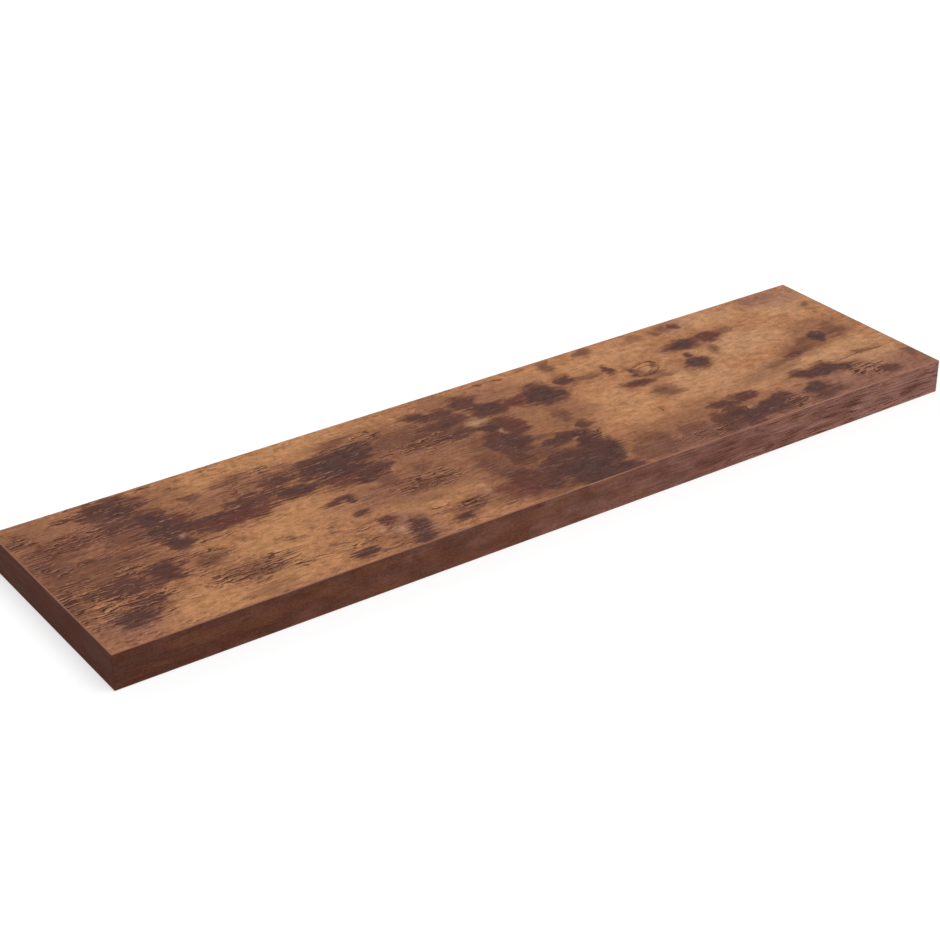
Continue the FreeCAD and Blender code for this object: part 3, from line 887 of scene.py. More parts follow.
def print_darkness(graph, places, noises, worn, edge):
    """How dark the figure is: haze, brown, dusky and dark spots, each deeper than the last."""
    darkness = 0.0
    for spots, depth, raggedness in SPOT_LAYERS:
        field = spots_field(graph, places["frayed"], spots)
        field = graph.math("MULTIPLY_ADD", edge, raggedness, field)
        halo = graph.step(field, *HALO_STEP, 0.0, HALO_DARKNESS)
        heart = graph.step(field, *HEART_STEP, 0.0, depth - HALO_DARKNESS)
        darkness = graph.math("MAXIMUM", darkness, graph.math("ADD", halo, heart))
    dusty = graph.math("MULTIPLY", worn, graph.step(noises["mottle"], *DUSTY_STEP))
    darkness = graph.math("MAXIMUM", darkness, dusty)
    return graph.swings(darkness, noises, DARKNESS_SWINGS)


def print_stains(graph, colours, places, zones, darkness):
    """Ground colours, then the colours that the dark figure runs through, and its casts."""
    # The golden ground turns paler towards the right end
    paler_rightwards = graph.step(graph.axis(places["straight"], "X"), *RIGHTWARD_PALING_STEP)
    gold = graph.mix(paler_rightwards, colours["golden"], colours["pale"])
    ground = graph.mix(zones["golden"], colours["tan"], gold)
    ground = graph.mix(zones["rosy"], ground, colours["rosy"])
    figure = graph.ramp(darkness, named_stops(STAIN_COLOURS, colours))
    ground = graph.mix(graph.step(darkness, *STAIN_STEP), ground, figure)
    shaded = graph.step(darkness, *CAST_STEP)
    for cast in ("grey_cast", "red_cast"):
        ground = graph.mix(graph.math("MULTIPLY", zones[cast], shaded), ground, colours[cast])
    mauve = graph.math("MULTIPLY", zones["mauve"], graph.step(darkness, *MAUVE_STEP))
    ground = graph.mix(mauve, ground, colours["mauve"])
    return graph.mix(zones["pale"], ground, colours["pale"])


def print_cracked(graph, noises, zones, worn):
    """How cracked the print is: wholly in its cracked areas, and in scattered patches."""
    scattered = graph.math("MULTIPLY_ADD", worn, SCATTER_WORN, SCATTER_EVERYWHERE)
    scattered = graph.math("MULTIPLY", scattered, graph.step(noises["mottle"], *SCATTER_STEP))
    return graph.math("MAXIMUM", zones["cracked"], scattered)


def print_marks(graph, colours, places, cracked, porous, ground):
    """Cracks with a painted highlight on one side, and pores, as the marked ground and how sunk it
    is.
    """
    # A pale copy of the cracks, moved aside, paints a highlight on their lit side
    crack_highlight_place = graph.vector("ADD", places["torn"], CRACK_HIGHLIGHT_OFFSET)
    rim = graph.math("MULTIPLY", cracked, dashes(graph, crack_highlight_place, *CRACK_HIGHLIGHTS))
    ground = graph.mix(graph.math("MULTIPLY", rim, CRACK_HIGHLIGHT_STRENGTH), ground, colours["pale"])
    crack = graph.math("MULTIPLY", cracked, dashes(graph, places["torn"], *CRACKS))
    ground = graph.mix(crack, ground, colours["line"])
    pores = graph.math("MULTIPLY", porous, dashes(graph, places["torn"], *PORES))
    ground = graph.mix(graph.math("MULTIPLY", pores, PORE_STRENGTH), ground, colours["line"])
    return ground, graph.math("MAXIMUM", crack, pores)


def print_grain(graph, noises, zones, darkness):
    """Fine grain, faint slanting scuffs, dabs and speckle, all weaker in the dark, and fibres."""
    held = graph.math("MULTIPLY_ADD", zones["golden"], GOLD_AGAINST_DABS, 1.0)
    dabbed = graph.math("MULTIPLY", graph.swing(noises["dab"], DAB_SWING), held)
    fine = graph.swings(dabbed, noises, FINE_SWINGS)
    fine = graph.math("MULTIPLY", fine, graph.step(darkness, *LIVELY_STEP))
    return graph.math("ADD", fine, graph.swing(noises["fibre"], FIBRE_SWING))


def new_group(name, inputs, outputs):
    """A shader node group with named inputs and outputs, as (tree, graph, input node)."""
    tree = bpy.data.node_groups.new(name, "ShaderNodeTree")
    for socket_name, kind in inputs:
        tree.interface.new_socket(socket_name, in_out="INPUT", socket_type=kind)
    for socket_name, kind in outputs:
        tree.interface.new_socket(socket_name, in_out="OUTPUT", socket_type=kind)
    entry = tree.nodes.new("NodeGroupInput")
    return tree, Graph(tree), entry


def rustic_print(colours):
    """The decor print as a group: a place in millimetres goes in, colour and relief come out."""
    tree, graph, entry = new_group(
        "rustic_print",
        (("Place", "NodeSocketVector"),),
        (("Color", "NodeSocketColor"), ("Relief", "NodeSocketFloat")),
    )
    places = print_places(graph, entry.outputs["Place"])
    noises = graph.noises(places, PRINT_NOISES)
    zones = print_zones(graph, places, noises)
    worn, edge = print_wear(graph, places, zones, noises)
    darkness = print_darkness(graph, places, noises, worn, edge)
    ground = print_stains(graph, colours, places, zones, darkness)

    rings = rings_field(graph, places["frayed"], places["waver"], RING_FIGURES)
    rings = graph.math("MULTIPLY", rings, graph.step(noises["clump"], *RING_BREAKS))
    ground = graph.mix(rings, ground, colours["line"])
    cracked = print_cracked(graph, noises, zones, worn)
    porous = graph.step(darkness, *PORE_STEP)
    porous = graph.math("MAXIMUM", graph.math("MULTIPLY", worn, PORES_WORN), porous)
    porous = graph.math("MAXIMUM", cracked, porous)
    ground, sunk = print_marks(graph, colours, places, cracked, porous, ground)
    ground = graph.mix(zones["lines"], ground, colours["line"])

    fine = print_grain(graph, noises, zones, darkness)
    broad = graph.swings(PRINT_SHADE, noises, BROAD_SWINGS)
    relief = graph.total(
        noises["grain"],
        graph.math("MULTIPLY", noises["speckle"], SPECKLE_RELIEF),
        graph.math("MULTIPLY", sunk, CRACK_RELIEF),
    )
    exit_node = tree.nodes.new("NodeGroupOutput")
    colour = graph.grained(ground, broad, fine, PRINT_GRAIN, PRINT_HAZE)
    graph.put(exit_node.inputs["Color"], colour)
    graph.put(exit_node.inputs["Relief"], relief)
    return tree


def new_material(name):
    """An empty node material, as (material, graph)."""
    material = bpy.data.materials.new(name)
    material.use_nodes = True
    material.node_tree.nodes.clear()
    return material, Graph(material.node_tree)


def add_shader(graph, colour, roughness, normal, metallic=0.0, specular=0.5):
    """The surface shader and the material's output."""
    shader = graph.node("BsdfPrincipled")
    graph.put(shader.inputs["Base Color"], colour)
    graph.put(shader.inputs["Roughness"], roughness)
    graph.put(shader.inputs["Normal"], normal)
    shader.inputs["Metallic"].default_value = metallic
    shader.inputs["Specular IOR Level"].default_value = specular
    output = graph.node("OutputMaterial")
    graph.put(output.inputs["Surface"], shader.outputs[0])


def piece_place(graph):
    """A piece's own coordinates in millimetres."""
    metres = graph.node("TexCoord").outputs["Object"]
    return graph.vector("MULTIPLY", metres, (PER_MM, PER_MM, PER_MM))


def panel_material(name, print_group, side, colours):
    """A skin: printed on its outer face, raw fibreboard on its edges and inner face.

    The print of the lower skin is the same sheet turned round, so side is 1 or -1.
    """
    material, graph = new_material(name)
    place = piece_place(graph)
    centre = ((BOARD_LEFT + BOARD_RIGHT) / 2 * PER_MM, (BOARD_BACK + BOARD_FRONT) / 2 * PER_MM)
    half_size = (BOARD_LENGTH / 2 * PER_MM, (BOARD_BACK - BOARD_FRONT) / 2 * PER_MM)
    from_centre = graph.vector("SUBTRACT", place, (*centre, 0.0))
    turned = graph.vector("MULTIPLY", from_centre, (side, -side, 0.0))
    figure = graph.node("Group", node_tree=print_group)
    graph.put(figure.inputs["Place"], graph.vector("ADD", turned, (*half_size, 0.0)))
    normal = graph.node("TexCoord").outputs["Normal"]
    facing = graph.math("MULTIPLY", graph.axis(normal, "Z"), side)
    printed = graph.math("GREATER_THAN", facing, PRINTED_FACING)
    raw_fibre = graph.noise(place, *RAW_FIBRE, solid=True)
    raw = graph.ramp(raw_fibre, named_stops(RAW_COLOURS, colours))
    colour = graph.mix(printed, raw, figure.outputs["Color"])
    relief = figure.outputs["Relief"]
    roughness = graph.step(relief, *PRINT_ROUGHNESS)
    add_shader(graph, colour, roughness, graph.bump(relief, PRINT_BUMP), specular=PRINT_GLOSS)
    return material


def band_figure(graph, colours, noises, warped, far, light_end, calm, marked):
    """The bands' figure: light and dark, warm and olive patches, knots and dark marks."""
    # The band lightens towards its far end: partly the print, partly painted light growing towards
    # that end
    level = graph.math("MULTIPLY", far, light_end)
    level = graph.swings(level, noises, {"blotch": between(BLOTCH_SWING, calm)})
    colour = graph.ramp(level, named_stops(BAND_COLOURS, colours))
    amber = graph.step(noises["warm"], *AMBER_STEP, 0.0, between(AMBER_STRENGTH, calm))
    colour = graph.mix(amber, colour, colours["band_amber"])
    olive = graph.step(noises["warm"], *OLIVE_STEP, 0.0, between(OLIVE_STRENGTH, calm))
    colour = graph.mix(olive, colour, colours["band_olive"])
    colour = graph.mix(graph.step(noises["knots"], *KNOT_STEP), colour, colours["band_dark"])
    marks = graph.swings(spots_field(graph, warped, marked), noises, MARK_SWING)
    return graph.mix(graph.step(marks, *MARK_STEP), colour, colours["band_dark"])


def band_material(name, colours, along, shift, light_end, calm, marked):
    """An edge band: the print in darker colours, partly painted shade of the shelf's sides, with
    embossed grain lines and a lighter upper arris.

    along is the axis the band runs along. shift moves the figure, so that the bands differ.
    light_end lightens the band's far end, partly as the print and partly as painted light
    that grows towards that end. calm weakens the figure's light and dark and gives it olive
    patches in their place. marked holds dark marks, as spots along the band and up it.
    """
    material, graph = new_material(name)
    place = piece_place(graph)
    start = (BOARD_LEFT if along == "X" else BOARD_FRONT) * PER_MM
    run = graph.math("SUBTRACT", graph.axis(place, along), start)
    height = graph.axis(place, "Z")
    flat = graph.node("CombineXYZ", {"X": run, "Y": height}).outputs[0]
    flat = graph.vector("ADD", flat, (shift, shift, 0.0))
    wander = graph.noise(flat, *BAND_WANDER, colour=True)
    straight = graph.shift(flat, wander, BAND_GRAIN_REACH)
    warped = graph.shift(flat, wander, BAND_REACH)
    noises = graph.noises({"straight": straight, "warped": warped}, BAND_NOISES)
    far = graph.math("DIVIDE", run, BOARD_LENGTH * PER_MM)
    colour = band_figure(graph, colours, noises, warped, far, light_end, calm, marked)

    lined = graph.step(far, *LINED_STEP)
    lined = graph.math("MULTIPLY_ADD", lined, light_end * LINED_FAR, LINED_EVERYWHERE)
    line = graph.math("MULTIPLY", dashes(graph, warped, *BAND_DASHES), lined)
    colour = graph.mix(graph.math("MULTIPLY", line, DASH_STRENGTH), colour, colours["band_dark"])
    fine = graph.math("MULTIPLY", graph.swing(noises["grain"], BAND_GRAIN_SWING), lined)
    fine = graph.swings(fine, noises, BAND_SPECKLE_SWING)
    fine = graph.math("MULTIPLY", fine, between(FINE_STRENGTH, calm))
    colour = graph.grained(colour, 1.0, fine, BAND_GRAIN, BAND_HAZE)
    above = graph.math("SUBTRACT", height, BOARD_TOP * PER_MM)
    # The band turns lighter along its upper edge
    worn = graph.step(graph.swings(above, noises, UPPER_EDGE_SWING), *UPPER_EDGE_STEP)
    colour = graph.mix(worn, colour, colours["arris"])
    relief = graph.math("SUBTRACT", noises["grain"], line)
    add_shader(graph, colour, BAND_ROUGHNESS, graph.bump(relief, BAND_BUMP), specular=BAND_GLOSS)
    return material


def particleboard_material(colours):
    """Pressed wood chips: flat flakes of several tones, with dark specks and a rough cut."""
    material, graph = new_material("particleboard")
    place = piece_place(graph)
    wander = graph.noise(place, *CHIP_WANDER, solid=True, colour=True)
    place = graph.shift(place, wander, CHIP_REACH)
    flake = graph.cells(place, CHIP_SIZE, output="Color")
    tone = graph.axis(flake, "X")
    colour = graph.ramp(tone, named_stops(CHIP_COLOURS, colours))
    specks = graph.step(graph.axis(flake, "Y"), *CHIP_SPECKS)
    colour = graph.mix(specks, colour, colours["chip_speck"])
    fibre = graph.noise(place, *CHIP_FIBRE, solid=True)
    colour = graph.brighten(colour, graph.total(1.0, graph.swing(fibre, CHIP_FIBRE_SWING)))
    gaps = graph.cells(place, CHIP_SIZE, feature="DISTANCE_TO_EDGE")
    colour = graph.mix(graph.step(gaps, *CHIP_GAPS), colour, colours["chip_speck"])
    relief = graph.total(graph.math("MULTIPLY", tone, CHIP_RELIEF), fibre)
    add_shader(graph, colour, CHIP_ROUGHNESS, graph.bump(relief, CHIP_BUMP), specular=DULL_GLOSS)
    return material


def paper_material(colours):
    """Kraft paper: long fibres in a mottled brown."""
    material, graph = new_material("kraft_paper")
    place = piece_place(graph)
    cloud = graph.noise(place, *PAPER_CLOUD, solid=True)
    fibre = graph.noise(place, *PAPER_FIBRE, solid=True)
    middle = graph.math("MULTIPLY", graph.math("ADD", cloud, fibre), 0.5)
    colour = graph.ramp(middle, named_stops(PAPER_COLOURS, colours))
    add_shader(graph, colour, PAPER_ROUGHNESS, graph.bump(fibre, PAPER_BUMP), specular=DULL_GLOSS)
    return material


def steel_material(name, colours, plating, along):
    """Zinc-plated steel: soft crystal patches and fine drawing lines along one axis."""
    material, graph = new_material(name)
    place = piece_place(graph)
    line_size = [LINE_WIDTH, LINE_WIDTH, LINE_WIDTH]
    line_size["XYZ".index(along)] = LINE_LENGTH
    noises = {
        "lines": graph.noise(place, line_size, LINE_DETAIL, LINE_ROUGHNESS, solid=True),
        "patches": graph.axis(graph.cells(place, CRYSTAL_SIZE, output="Color"), "X"),
        "cloud": graph.noise(place, *STEEL_CLOUD, solid=True),
    }
    shade = graph.swings(STEEL_SHADE, noises, STEEL_SWINGS)
    tinted = graph.step(noises["cloud"], *STEEL_TINT)
    tint = graph.mix(tinted, colours[plating], colours["plating_tint"])
    rough = graph.step(graph.swings(noises["cloud"], noises, STEEL_DULLNESS), *STEEL_ROUGHNESS)
    normal = graph.bump(noises["lines"], STEEL_BUMP)
    add_shader(graph, graph.brighten(tint, shade), rough, normal, metallic=1.0)
    return material


def weld_material(colours):
    """A weld bead: dull plated metal with painted shade in its hollows, and pits and soot specks."""
    material, graph = new_material("weld_metal")
    place = piece_place(graph)
    scale = graph.noise(place, *WELD_SCALE, solid=True)
    pits = graph.cells(place, PIT_SIZE)
    tint = graph.mix(graph.step(pits, *PIT_SOOT), colours["weld"], colours["soot"])
    # Painted shade: the bead is darker where its relief is low
    colour = graph.brighten(tint, graph.step(scale, *WELD_PAINTED_SHADE))
    relief = graph.total(scale, graph.math("MULTIPLY", pits, PIT_RELIEF))
    rough = graph.step(scale, *WELD_ROUGHNESS)
    normal = graph.bump(relief, WELD_BUMP)
    add_shader(graph, colour, rough, normal, metallic=WELD_METALLIC)
    return material


def turned_material(name, colours, metal, centre, metallic, roughness):
    """A turned metal piece: fine rings about its own axis, with wear in patches.

    centre holds the X and Y of the axis, in millimetres.
    """
    material, graph = new_material(name)
    place = piece_place(graph)
    local = graph.vector("SUBTRACT", place, (*centre, 0.0))
    radius = graph.vector("LENGTH", graph.vector("MULTIPLY", local, (1.0, 1.0, 0.0)))
    rings = graph.math("SINE", graph.math("MULTIPLY", radius, math.tau / RING_PITCH))
    height = graph.math("MULTIPLY", graph.axis(place, "Z"), math.tau / HEIGHT_PITCH)
    height_rings = graph.math("SINE", height)
    tooling = graph.math("MULTIPLY", graph.math("ADD", rings, height_rings), TOOLING)
    rub = graph.noise(place, *RUB, solid=True)
    tint = graph.mix(graph.step(rub, *RUB_WEAR), colours[metal], colours[metal + "_wear"])
    shade = graph.total(1.0, graph.math("MULTIPLY", tooling, TOOLING_SHADE))
    shade = graph.swings(shade, {"rub": rub}, RUB_SWING)
    rough = graph.step(rub, *RUB_RANGE, *roughness)
    normal = graph.bump(tooling, TOOLING_BUMP)
    add_shader(graph, graph.brighten(tint, shade), rough, normal, metallic=metallic)
    return material


def bead_section(rod_radius, leg, plate_face, turn):
    """A bead's points at one turn round the rod, as (radius, depth): its face, then its root."""
    points = []
    for row in range(BEAD_ROWS):
        share = row / (BEAD_ROWS - 1)
        crown = math.sin(math.pi * share)
        ripple = (turn * BEAD_RIPPLES + BEAD_SKEW * crown) % 1.0
        swell = (BEAD_CROWN + BEAD_RIPPLE * ripple) * crown / math.sqrt(2.0)
        points.append((rod_radius + leg * share + swell, plate_face - leg * (1.0 - share) - swell))
    points.append((rod_radius - BEAD_SINK, plate_face + BEAD_SINK))
    return points


def bead_mesh():
    """One closed ring of weld round the foot of each rod, its face rippled like laid coins."""
    plate_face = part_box("wall_plate")[0].y
    leg = plate_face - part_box("rod_welds")[0].y
    row_size = BEAD_ROWS + 1
    verts, faces = [], []
    for rod in RODS:
        low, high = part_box(rod)
        centre_x, centre_z = (low.x + high.x) / 2, (low.z + high.z) / 2
        first = len(verts)
        for around in range(BEAD_STEPS):
            turn = around / BEAD_STEPS
            angle = turn * math.tau
            for radius, depth in bead_section((high.x - low.x) / 2, leg, plate_face, turn):
                x = centre_x + radius * math.cos(angle)
                verts.append((x, depth, centre_z + radius * math.sin(angle)))
            here = first + around * row_size
            there = first + (around + 1) % BEAD_STEPS * row_size
            for row in range(row_size):
                after = (row + 1) % row_size
                faces.append((here + row, here + after, there + after, there + row))
    mesh = bpy.data.meshes.new("weld_beads")
    mesh.from_pydata(verts, [], faces)
    mesh.update()
    return mesh


def lay_weld_beads(material):
    """The rippled beads stand for the plain ones of the frame."""
    mesh = bead_mesh()
    mesh.shade_smooth()
    beads = bpy.data.objects.new("weld_beads", mesh)
    bpy.context.scene.collection.objects.link(beads)
    beads.data.materials.append(material)
    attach(beads, "bracket")
    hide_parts("rod_welds")


def dress(material, *node_names):
    """Gives CAD nodes their material."""
    for node_name in node_names:
        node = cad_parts[node_name]
        if not node.material_slots:
            node.data.materials.append(material)
        for slot in node.material_slots:
            slot.material = material


def seen_rays(graph):
    """1 for the rays that show a surface: the camera's, and those of gloss and glass."""
    path = graph.node("LightPath")
    seen = graph.math("MAXIMUM", path.outputs["Is Camera Ray"], path.outputs["Is Glossy Ray"])
    return graph.math("MAXIMUM", seen, path.outputs["Is Transmission Ray"])


def floor_material(colour):
    """Floor paint, white to the camera away from the shelf's shadow, and clear from below."""
    material, graph = new_material("floor_paint")
    surface = graph.node("BsdfDiffuse", {"Color": colour})
    glow = graph.node("Emission", {"Strength": graph.math("MULTIPLY", seen_rays(graph), FLOOR_GLOW)})
    both = graph.node("AddShader")
    graph.put(both.inputs[0], surface.outputs[0])
    graph.put(both.inputs[1], glow.outputs[0])
    path = graph.node("LightPath")
    backfacing = graph.node("NewGeometry").outputs["Backfacing"]
    from_below = graph.math("MULTIPLY", backfacing, path.outputs["Is Camera Ray"])
    from_underside = graph.math("LESS_THAN", path.outputs["Ray Length"], FLOOR_CLEAR)
    clear = graph.node("BsdfTransparent")
    passing = graph.node("MixShader")
    graph.put(passing.inputs[0], graph.math("MAXIMUM", from_below, from_underside))
    graph.put(passing.inputs[1], both.outputs[0])
    graph.put(passing.inputs[2], clear.outputs[0])
    output = graph.node("OutputMaterial")
    graph.put(output.inputs["Surface"], passing.outputs[0])
    return material


def make_floor(settings):
    """A pale floor just under the shelf.

    It can't be seen from below, and rays from the underside pass it, so that side can be looked at.
    """
    half = FLOOR_SIZE / 2
    mesh = bpy.data.meshes.new("floor")
    corners = [(-half, -half, 0.0), (half, -half, 0.0), (half, half, 0.0), (-half, half, 0.0)]
    mesh.from_pydata(corners, [], [(0, 1, 2, 3)])
    floor = bpy.data.objects.new("floor", mesh)
    floor.location.z = -FLOOR_DROP
    bpy.context.scene.collection.objects.link(floor)
    mesh.materials.append(floor_material((*settings.floor_colour, 1.0)))


def make_world():
    """Soft even light from all round, seen as white by the camera and in reflections.

    Light from below reaches the underside alone, since the floor stops it elsewhere.
    """
    world = bpy.data.worlds.new("studio")
    bpy.context.scene.world = world
    world.use_nodes = True
    world.node_tree.nodes.clear()
    graph = Graph(world.node_tree)
    direction = graph.node("TexCoord").outputs["Generated"]
    rise = graph.axis(direction, "Z")
    light = graph.step(rise, *UNDERSIDE_BLEND, WORLD_LIGHT, UNDERSIDE_LIGHT)
    strength = graph.math("MAXIMUM", seen_rays(graph), light)
    background = graph.node("Background", {"Color": WHITE, "Strength": strength})
    output = graph.node("OutputWorld")
    graph.put(output.inputs["Surface"], background.outputs[0])


def make_lamps():
    """Wide soft lamps, the main one from above and the right."""
    for name, azimuth, height, spread, power in LAMPS:
        light = bpy.data.lights.new(name, "SUN")
        light.energy = power
        light.angle = math.radians(spread)
        lamp = bpy.data.objects.new(name, light)
        bpy.context.scene.collection.objects.link(lamp)
        lamp.rotation_euler = (math.radians(90.0 - height), 0.0, math.radians(azimuth))


def make_camera(settings):
    """The camera at the photograph's angle."""
    turn, height = settings.view_turn, settings.view_height
    level = math.cos(height)
    back = Vector((math.sin(turn) * level, -math.cos(turn) * level, math.sin(height)))
    data = bpy.data.cameras.new("camera")
    data.sensor_width = SENSOR_WIDTH_MM
    data.lens = settings.lens
    camera = bpy.data.objects.new("camera", data)
    camera.location = VIEW_AIM + back * settings.view_distance
    camera.rotation_euler = (-back).to_track_quat("-Z", "Y").to_euler()
    bpy.context.scene.collection.objects.link(camera)
    bpy.context.scene.camera = camera
    bpy.context.scene.view_settings.view_transform = "Standard"


def colours_of(settings):
    """The colours of a settings group by name, ready for a shader."""
    names = settings.__annotations__
    return {name: (*getattr(settings, name), 1.0) for name in names}


def colour_setting(name, description, default):
    """A colour that the user can change."""
    return bpy.props.FloatVectorProperty(
        name=name,
        description=description,
        subtype="COLOR",
        size=3,
        min=0.0,
        max=1.0,
        default=default[:3],
    )


class WallShelfPrint(bpy.types.PropertyGroup):
    """Colours of the wood print."""

    golden: colour_setting("Golden", "Lightest ground of the print", paint(181, 129, 88))
    tan: colour_setting("Tan", "Ground of the print", paint(172, 119, 82))
    rosy: colour_setting("Rosy", "Reddish ground of the print", paint(154, 104, 80))
    brown: colour_setting("Brown", "Soft brown stains", paint(128, 85, 64))
    dusky: colour_setting("Dusky", "Deeper brown stains", paint(106, 67, 52))
    dark: colour_setting("Dark", "Dark stains", paint(90, 56, 48))
    core: colour_setting("Core", "Deepest part of the dark stains", paint(78, 51, 46))
    grey_cast: colour_setting("Grey cast", "Grey cast in some stains", paint(72, 52, 48))
    mauve: colour_setting("Mauve", "Mauve cast of some zones", paint(132, 94, 88))
    red_cast: colour_setting("Red cast", "Red cast in some stains", paint(100, 52, 44))
    # pale also paints the highlight beside each crack
    pale: colour_setting("Pale", "Pale spots and the rims of cracks", paint(190, 147, 115))
    line: colour_setting("Line", "Cracks and growth lines", paint(82, 46, 37))


class WallShelfBands(bpy.types.PropertyGroup):
    """Colours of the edge bands, darker than the top's print partly as painted shade of the shelf's
    sides.
    """

    band_dark: colour_setting("Band dark", "Darkest parts of the edge bands", paint(102, 60, 48))
    band: colour_setting("Band", "Middle tone of the edge bands", paint(126, 81, 67))
    band_light: colour_setting("Band light", "Lightest parts of the bands", paint(178, 127, 115))
    band_amber: colour_setting("Band amber", "Warm patches of the edge bands", paint(134, 88, 56))
    band_olive: colour_setting("Band olive", "Olive patches of the end bands", paint(108, 84, 68))
    # arris lightens the bands along their upper edge
    arris: colour_setting("Arris", "Worn upper edge of the bands", paint(160, 116, 98))


class WallShelfCore(bpy.types.PropertyGroup):
    """Colours of the raw fibreboard, the particleboard and the honeycomb paper."""

    fibre_dark: colour_setting("Fibre dark", "Darkest raw fibreboard", paint(104, 74, 50))
    fibre_light: colour_setting("Fibre light", "Lightest raw fibreboard", paint(158, 122, 88))
    chip_dark: colour_setting("Chip dark", "Darkest chips", paint(162, 122, 86))
    chip: colour_setting("Chips", "Middle tone of the particleboard", paint(204, 164, 120))
    chip_light: colour_setting("Chip light", "Light chips", paint(222, 186, 144))
    chip_pale: colour_setting("Chip pale", "Palest chips", paint(236, 208, 170))
    chip_speck: colour_setting("Chip speck", "Dark specks and gaps", paint(112, 80, 56))
    paper_dark: colour_setting("Paper dark", "Darkest paper", paint(140, 104, 68))
    paper: colour_setting("Paper", "Middle tone of the honeycomb paper", paint(170, 134, 92))
    paper_light: colour_setting("Paper light", "Lightest paper", paint(196, 162, 120))


class WallShelfHardware(bpy.types.PropertyGroup):
    """Colours of the metal pieces."""

    zinc: colour_setting("Zinc", "Zinc plating of the bracket", paint(166, 169, 173))
    wire: colour_setting("Wire", "Galvanised staple wire", paint(190, 193, 196))
    plating_tint: colour_setting("Plating tint", "Warm clouds in plating", paint(206, 198, 176))
    weld: colour_setting("Weld", "Weld beads", paint(138, 137, 138))
    soot: colour_setting("Soot", "Pits of the weld beads", paint(70, 64, 60))
    brass: colour_setting("Brass", "Threaded inserts", paint(212, 172, 104))
    brass_wear: colour_setting("Brass wear", "Rubbed brass", paint(232, 204, 150))
    oxide: colour_setting("Black oxide", "Lock screws", paint(46, 46, 50))
    oxide_wear: colour_setting("Black oxide wear", "Rubbed black oxide", paint(88, 86, 84))


class WallShelfStage(bpy.types.PropertyGroup):
    """Floor, lamps and camera."""

    view_turn: bpy.props.FloatProperty(
        name="View turn",
        description="Turn of the camera round the shelf",
        default=math.radians(-35.15),
        subtype="ANGLE",
    )
    view_height: bpy.props.FloatProperty(
        name="View height",
        description="Angle of the camera above the floor",
        default=math.radians(28.78),
        subtype="ANGLE",
    )
    view_distance: bpy.props.FloatProperty(
        name="View distance",
        description="Distance from the camera to the point it looks at",
        default=1.7509,
        unit="LENGTH",
        min=0.1,
    )
    lens: bpy.props.FloatProperty(
        name="Lens",
        description="Focal length in millimetres",
        default=81.84,
        min=10.0,
    )
    floor_colour: colour_setting("Floor", "Colour of the floor", (0.5, 0.5, 0.5))


class SHELF_OT_stage(bpy.types.Operator):
    """Add the floor, the lamps and the camera"""

    bl_idname = "wall_shelf.stage"
    bl_label = "Floor, lamps and camera"

    def execute(self, context):
        settings = context.scene.wall_shelf_stage
        make_floor(settings)
        make_world()
        make_lamps()
        make_camera(settings)
        return {"FINISHED"}


class SHELF_OT_panels(bpy.types.Operator):
    """Give the top and bottom panels their wood print"""

    bl_idname = "wall_shelf.panels"
    bl_label = "Printed panels"

    def execute(self, context):
        group = rustic_print(colours_of(context.scene.wall_shelf_print))
        core = colours_of(context.scene.wall_shelf_core)
        dress(panel_material("top_print", group, 1.0, core), "top_panel")
        dress(panel_material("bottom_print", group, -1.0, core), "bottom_panel")
        return {"FINISHED"}


class SHELF_OT_edge_bands(bpy.types.Operator):
    """Give the three edge bands their print, darker partly as painted shade of the sides"""

    bl_idname = "wall_shelf.edge_bands"
    bl_label = "Edge bands"

    def execute(self, context):
        colours = colours_of(context.scene.wall_shelf_bands)
        for node_name, name, *figure in BANDS:
            dress(band_material(name, colours, *figure), node_name)
        return {"FINISHED"}


class SHELF_OT_core(bpy.types.Operator):
    """Give the rails, the honeycomb and the staples their materials"""

    bl_idname = "wall_shelf.core"
    bl_label = "Rails, honeycomb and staples"

    def execute(self, context):
        colours = colours_of(context.scene.wall_shelf_core)
        metals = colours_of(context.scene.wall_shelf_hardware)
        rails = [name for name in sorted(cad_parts) if name.endswith("_rail")]
        bays = [name for name in sorted(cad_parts) if name.startswith("honeycomb")]
        dress(particleboard_material(colours), *rails)
        dress(paper_material(colours), *bays)
        dress(steel_material("staple_wire", metals, "wire", "X"), "frame_staples")
        return {"FINISHED"}


class SHELF_OT_bracket(bpy.types.Operator):
    """Give the wall plate and the rods their plating, and lay the weld beads"""

    bl_idname = "wall_shelf.bracket"
    bl_label = "Bracket and welds"

    def execute(self, context):
        metals = colours_of(context.scene.wall_shelf_hardware)
        dress(steel_material("plate_zinc", metals, "zinc", "X"), "wall_plate")
        dress(steel_material("rod_zinc", metals, "zinc", "Y"), *RODS)
        lay_weld_beads(weld_material(metals))
        return {"FINISHED"}


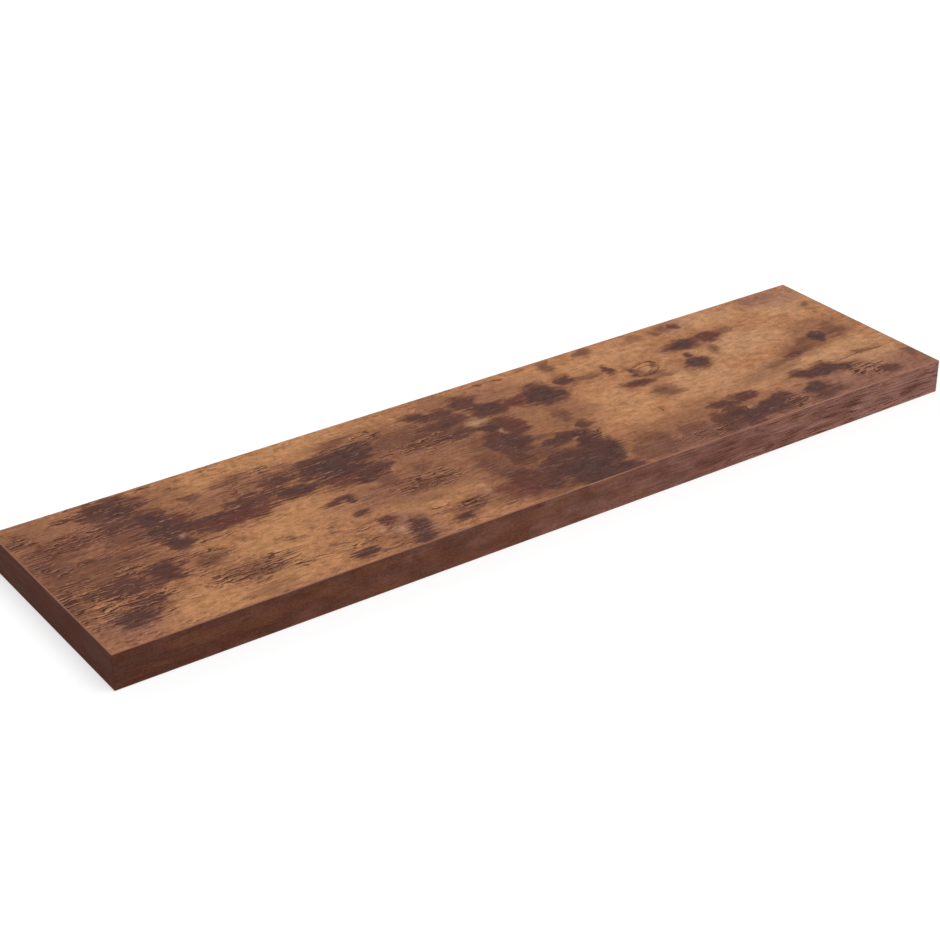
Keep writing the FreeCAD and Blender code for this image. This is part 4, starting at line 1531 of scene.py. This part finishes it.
class SHELF_OT_locks(bpy.types.Operator):
    """Give the threaded inserts and the lock screws their finish"""

    bl_idname = "wall_shelf.locks"
    bl_label = "Inserts and lock screws"

    def execute(self, context):
        metals = colours_of(context.scene.wall_shelf_hardware)
        for side in ("left", "right"):
            low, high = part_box(side + "_lock_insert")
            centre = ((low.x + high.x) / 2 * PER_MM, (low.y + high.y) / 2 * PER_MM)
            for piece, metal, *finish in TURNED_PIECES:
                name = side + "_" + metal
                dress(turned_material(name, metals, metal, centre, *finish), side + piece)
        return {"FINISHED"}


class VIEW3D_PT_wall_shelf(bpy.types.Panel):
    """Lists the steps that dress the shelf"""

    bl_label = "Wall Shelf"
    bl_idname = "VIEW3D_PT_wall_shelf"
    bl_space_type = "VIEW_3D"
    bl_region_type = "UI"
    bl_category = "Wall Shelf"

    def draw(self, context):
        for operator in OPERATORS:
            self.layout.operator(operator.bl_idname)


OPERATORS = (
    SHELF_OT_stage,
    SHELF_OT_panels,
    SHELF_OT_edge_bands,
    SHELF_OT_core,
    SHELF_OT_bracket,
    SHELF_OT_locks,
)
SETTINGS = {
    "wall_shelf_print": WallShelfPrint,
    "wall_shelf_bands": WallShelfBands,
    "wall_shelf_core": WallShelfCore,
    "wall_shelf_hardware": WallShelfHardware,
    "wall_shelf_stage": WallShelfStage,
}
CLASSES = (*SETTINGS.values(), *OPERATORS, VIEW3D_PT_wall_shelf)


def register():
    """Registers the settings, the operators and the panel."""
    for each in CLASSES:
        bpy.utils.register_class(each)
    for name, group in SETTINGS.items():
        setattr(bpy.types.Scene, name, bpy.props.PointerProperty(type=group))


def unregister():
    """Removes what register() added."""
    for name in SETTINGS:
        delattr(bpy.types.Scene, name)
    for each in reversed(CLASSES):
        bpy.utils.unregister_class(each)


def main():
    """Registers the add-on, then dresses the shelf and sets the floor, the lamps and the camera."""
    register()
    bpy.ops.wall_shelf.stage()
    bpy.ops.wall_shelf.panels()
    bpy.ops.wall_shelf.edge_bands()
    bpy.ops.wall_shelf.core()
    bpy.ops.wall_shelf.bracket()
    bpy.ops.wall_shelf.locks()


if __name__ == "__main__":
    main()
